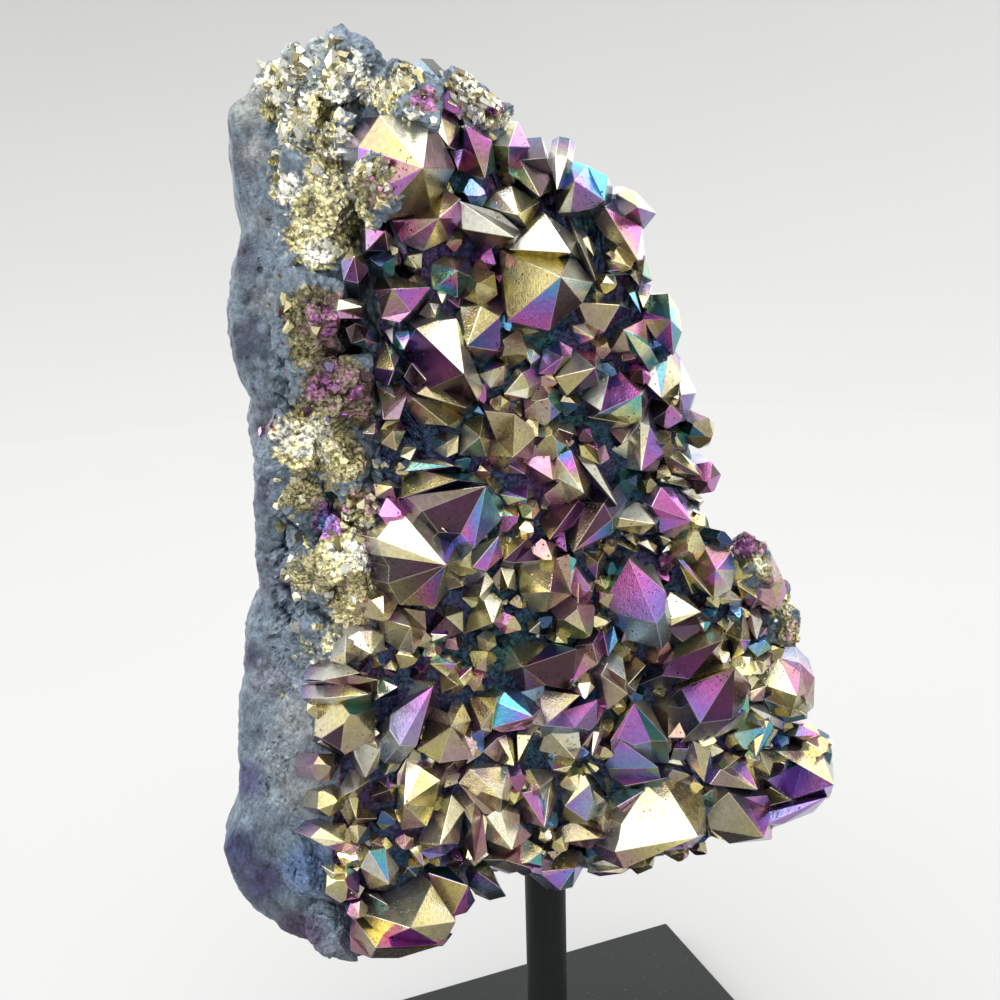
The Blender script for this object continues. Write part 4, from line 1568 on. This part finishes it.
def coated_rock():
    """Steel-blue rock under a film that shines gold and violet where it covers the rock."""
    finish = Finish("coated_rock")
    place = finish.place()
    clouds = finish.noise(ROCK_CLOUDS, 4, at=place)
    crackle = finish.noise(CRACKLE, 5, 0.7, at=place)
    fine = finish.noise(ROCK_GRAIN, 3, 0.6, at=place)
    cover = finish.step(finish.attribute("cover") + (crackle - 0.5) * 0.9, 0.35, 0.6)
    bare = finish.dim(finish.attribute("tint", "Color"), 0.45 + crackle * 0.7 + clouds * 0.5)
    # The pits are bent out of round
    bent = finish.node("ShaderNodeVectorMath", {"operation": "ADD"}, {
        0: place, 1: finish.dim(finish.noise(PIT_BENDS, 2, at=place), 0.004)}, "Vector")
    pit_field = finish.cells(ROCK_PITS, at=bent)
    pits = (1 - finish.step(pit_field, 0.08, 0.30)) * finish.step(clouds, 0.45, 0.6)
    bare = finish.dim(bare, 1 - 0.6 * pits)
    tone = (finish.attribute("film") + (clouds - 0.5) * 0.55 + (crackle - 0.5) * 0.30
            - finish.attribute("relief") * 0.12)
    # The film is chipped, and a little silvery
    chips = finish.noise(ROCK_CHIPS, 5, 0.75, at=place)
    contrast = 0.22 + 1.25 * finish.step(chips, 0.36, 0.66)
    film = finish.mix(0.02 + 0.22 * crackle, finish.ramp(tone.at_least(0.03), FILM_RAMP), MILKY)
    shine = finish.dim(film, finish.attribute("shade") * contrast)
    bare = finish.dim(bare, 0.6 + 0.7 * finish.step(chips, 0.3, 0.7))
    hollow = finish.step(finish.attribute("relief"), -1.6, -0.7)
    colour = finish.mix(hollow, NAVY, finish.mix(cover, bare, shine))
    height = crackle + fine * 0.5 - pits * 0.8
    finish.drive(Base_Color=colour, Metallic=0.55 + cover * 0.38,
                 Roughness=0.40 - cover * 0.22 + crackle * 0.2,
                 Normal=finish.bump(height, 0.0005, 0.8))
    return finish.material


rock_finish = coated_rock()
rock.data.materials.append(rock_finish)
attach(rock, "root")
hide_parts("amethyst_cluster")
print("rock finished")

# %% [markdown]
# ## Broken stubs down the left face
# Where the slab was snapped off, thick stubs of quartz show their fracture: large uneven breaks
# with sharp edges and a splintery surface that glitters gold and violet.

# %% The listed stubs
LUMPS = (
    Lump(345, 72, 26, -0.010), Lump(404, 97, 29, -0.021), Lump(463, 96, 20, -0.019),
    Lump(488, 114, 19, -0.021), Lump(338, 146, 23, -0.011), Lump(303, 118, 24, -0.006),
    Lump(286, 165, 18, -0.004), Lump(284, 88, 19, -0.004), Lump(300, 74, 16, -0.005),
    Lump(324, 208, 36, -0.012), Lump(318, 244, 32, -0.010), Lump(312, 318, 42, -0.012),
    Lump(334, 392, 44, -0.013), Lump(299, 448, 33, -0.009), Lump(342, 458, 28, -0.014),
    Lump(302, 492, 25, -0.008), Lump(360, 505, 22, -0.016), Lump(354, 553, 33, -0.016),
    Lump(318, 572, 28, -0.010), Lump(358, 602, 29, -0.016), Lump(322, 645, 32, -0.010),
    Lump(296, 690, 22, -0.006), Lump(292, 760, 26, -0.006), Lump(302, 860, 34, -0.008),
    Lump(330, 924, 28, -0.012), Lump(270, 800, 22, -0.003),
    # The broken side of the topmost big crystal
    Lump(381, 178, 21, -0.0285), Lump(376, 206, 15, -0.026),
    # Outer edge at the right
    Lump(749, 562, 28, -0.021), Lump(779, 624, 23, -0.019), Lump(774, 590, 17, -0.018),
)
print("stubs:", len(LUMPS))

# %% A ball to cut stubs from
LUMP_BREAKS = 10
BALL_DETAIL = 5
NUDGE = 0.2
across_wall = on_slab(375, 400, FRONT_DEPTH) - on_slab(265, 400, RIM_DEPTH)
WALL_NORMAL = Vector((across_wall.y, -across_wall.x, 0)).normalized()


def spread_direction(k, count, dice):
    """One of count directions spread evenly round a ball, then nudged."""
    height = 1 - 2 * (k + 0.5) / count
    angle = k * math.pi * (3 - math.sqrt(5))
    flat = math.sqrt(1 - height * height)
    nudge = Vector([dice.gauss(0, NUDGE) for _ in range(3)])
    return (Vector((flat * math.cos(angle), flat * math.sin(angle), height)) + nudge).normalized()


def ball_points():
    """An even ball of triangles, as points and faces."""
    mesh = bmesh.new()
    bmesh.ops.create_icosphere(mesh, subdivisions=BALL_DETAIL, radius=1)
    points = np.array([v.co[:] for v in mesh.verts])
    faces = [[v.index for v in f.verts] for f in mesh.faces]
    mesh.free()
    return points, faces


BALL, BALL_FACES = ball_points()
print("points on a stub:", len(BALL))

# %% Splintery stubs
FRONT_BREAK = (0.50, 0.66)  # how far the break at the front is from the middle, in radii
OTHER_BREAKS = (0.62, 0.98)
GRAZING = 0.05  # a break that a point hardly faces doesn't cut it
FAR_OFF = 9.0
# Each kind of splinter: how many to the metre, and how high in metres
RIDGES = (170, 0.0004)
RIPPLES_ON_STUB = (5200, 0.00006)
SPLINTERS = (480, 0.00014)
BLOCKS = (240, 0.0004)
CHIPS = (700, 0.00016)


def splinter(spec):
    """A stub: a ball cut by flat breaks, then splintered. Also how proud each point stands."""
    dice = dice_for(spec)
    radius = spec.radius * SHEET_UNIT
    front = Vector([dice.gauss(0, NUDGE) for _ in range(3)]) + WALL_NORMAL
    normals = [front.normalized()]
    normals += [spread_direction(k, LUMP_BREAKS, dice) for k in range(LUMP_BREAKS)]
    normals = np.array(normals)
    shares = [dice.uniform(*FRONT_BREAK)]
    shares += [dice.uniform(*OTHER_BREAKS) for _ in range(LUMP_BREAKS)]
    reaches = radius * np.array(shares)
    facing = BALL @ normals.T
    reach = np.where(facing > GRAZING, reaches / np.maximum(facing, GRAZING), FAR_OFF).min(1)
    middle = np.array(on_slab(spec.x, spec.y, spec.depth))
    spots = middle + BALL * reach[:, None]
    proud, levels = np.empty(len(spots)), np.empty(len(spots))
    for i, spot in enumerate(spots):
        here = Vector(spot)
        ridge = abs(noise.noise(here * RIDGES[0] + Vector((spec.x, 0, 0)))) * RIDGES[1]
        bend = noise.noise(here * BLOCKS[0]) * 9
        ripple = math.sin(here.length * RIPPLES_ON_STUB[0] + bend) * RIPPLES_ON_STUB[1]
        splinters = noise.fractal(here * SPLINTERS[0], 0.8, 2.2, 4) * SPLINTERS[1]
        block, level = grain_at(here, BLOCKS[0], 0.3, BLOCKS[1])
        chip, chip_level = grain_at(here, CHIPS[0], 0.5, CHIPS[1])
        proud[i] = 0.0003 - ridge + splinters + ripple + block + chip
        levels[i] = level * 0.6 + chip_level
    return spots + BALL * proud[:, None], proud, levels


stub_spots, stub_faces, stub_relief, stub_levels = [], [], [], []
for spec in LUMPS:
    first = len(stub_spots) * len(BALL)
    spots, proud, levels = splinter(spec)
    stub_levels.append(levels)
    stub_spots.append(spots)
    stub_relief.append(proud * 1000)
    stub_faces += [[first + i for i in face] for face in BALL_FACES]
stub_spots = np.concatenate(stub_spots)
stub_mesh = bpy.data.meshes.new("stubs")
stub_mesh.from_pydata(stub_spots.tolist(), [], stub_faces)
store_dabs(stub_mesh, stub_spots, np.concatenate(stub_relief), np.concatenate(stub_levels),
           stub_spots[:, 1] < RIM_DEPTH + BEHIND_RIM)
stubs = bpy.data.objects.new("broken_stubs", stub_mesh)
bpy.context.scene.collection.objects.link(stubs)
stubs.data.materials.append(rock_finish)
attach(stubs, "root")
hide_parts("amethyst_cluster")
print("stub faces:", len(stub_faces))

# %% Small broken grains on the wall
GRAIN_TRIES = 1900
CRUMBLY_END = 172  # above this line of the sheet the wall is all grains
LEFT_OUT = 0.68  # the share of the tries below that line that grow nothing
GRAINS_END = 700  # no grains below this line
GRAIN_SIZES = (0.0005, 0.0016)
GRAIN_PLANES = 9
# Letters of the grains, from the top of the wall down: the sheet's y where each choice ends
GRAIN_CHOICES = ((160, "swyoswsz"), (270, "yoswyoz"), (345, "oydzyb"), (440, "dpmdcz"),
                 (525, "yyobzyow"), (1000, "soyszoyw"))
_, stub_y = many_on_sheet(stub_spots)
stub_outward = np.tile(BALL, (len(LUMPS), 1))
on_stubs = (stub_outward @ np.array(WALL_NORMAL) > 0.2) & (stub_y < GRAINS_END)
on_rock = (broken_wall > 0.4) & (sheet_y < GRAINS_END)
on_rock &= flat_normals @ np.array(WALL_NORMAL) > 0.2
grain_spots = np.concatenate([stub_spots[on_stubs], rough_points[on_rock]])
grain_normals = np.concatenate([stub_outward[on_stubs], flat_normals[on_rock]])
grain_heights = np.concatenate([stub_y[on_stubs], sheet_y[on_rock]])
grains = Growth()
dice = random.Random(23)


def grow_grain(growth, middle, radius, letter):
    """A block of broken quartz with flat sides."""
    normals = np.array([spread_direction(k, GRAIN_PLANES, dice) for k in range(GRAIN_PLANES)])
    reaches = radius * np.array([dice.uniform(0.5, 1.0) for _ in range(GRAIN_PLANES)])
    corners, faces = convex_cell(normals, reaches)
    tone, shade = FILM[letter]
    looks = []
    for _, loop in faces:
        here = (tone + dice.uniform(-0.06, 0.06), shade * dice.uniform(0.5, 1.2),
                HAZE.get(letter, 0.0) + dice.uniform(0, 0.4))
        looks.append([here] * len(loop))
    growth.add([Vector(c) + middle for c in corners], faces, looks)


for _ in range(GRAIN_TRIES):
    place = dice.randrange(len(grain_spots))
    if grain_heights[place] > CRUMBLY_END and dice.random() < LEFT_OUT:
        continue
    radius = dice.uniform(*GRAIN_SIZES) * dice.uniform(0.6, 1.0)
    choices = next(letters for end, letters in GRAIN_CHOICES if grain_heights[place] < end)
    middle = Vector(grain_spots[place]) - Vector(grain_normals[place]) * radius * 0.35
    grow_grain(grains, middle, radius, dice.choice(choices))
finish_crystals(grains, "wall_grains", GRAIN_EDGE)
print("faces on the grains:", len(grains.faces))

# %% [markdown]
# ## The stand
# The rod and the plate are plain black steel, and their solids are already right. They get a satin
# black paint with a fine orange-peel skin and a few specks of dust.

# %% Black paint
PAINT_STOPS = [(0.3, (0.008, 0.009, 0.010)), (0.7, (0.014, 0.016, 0.016))]
DUST = (0.22, 0.21, 0.20, 1)


def black_paint(name):
    """Satin black paint with an orange-peel skin and a few specks of dust."""
    finish = Finish(name, Metallic=0.0, Specular_IOR_Level=0.14)
    place = finish.place()
    peel = finish.noise(1500, 3, at=place)
    clouds = finish.noise(22, 4, at=place)
    specks = 1 - finish.step(finish.cells(420, at=place), 0.03, 0.07)
    colour = finish.mix(specks * 0.5, finish.ramp(clouds, PAINT_STOPS), DUST)
    finish.drive(Base_Color=colour, Roughness=0.42 + 0.16 * clouds,
                 Normal=finish.bump(peel, 0.0001, 0.35))
    return finish.material


for node in ("rod", "base_plate"):
    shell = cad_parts[node]
    shell.data.materials.clear()
    shell.data.materials.append(black_paint("black_paint_" + node))
print("stand painted")
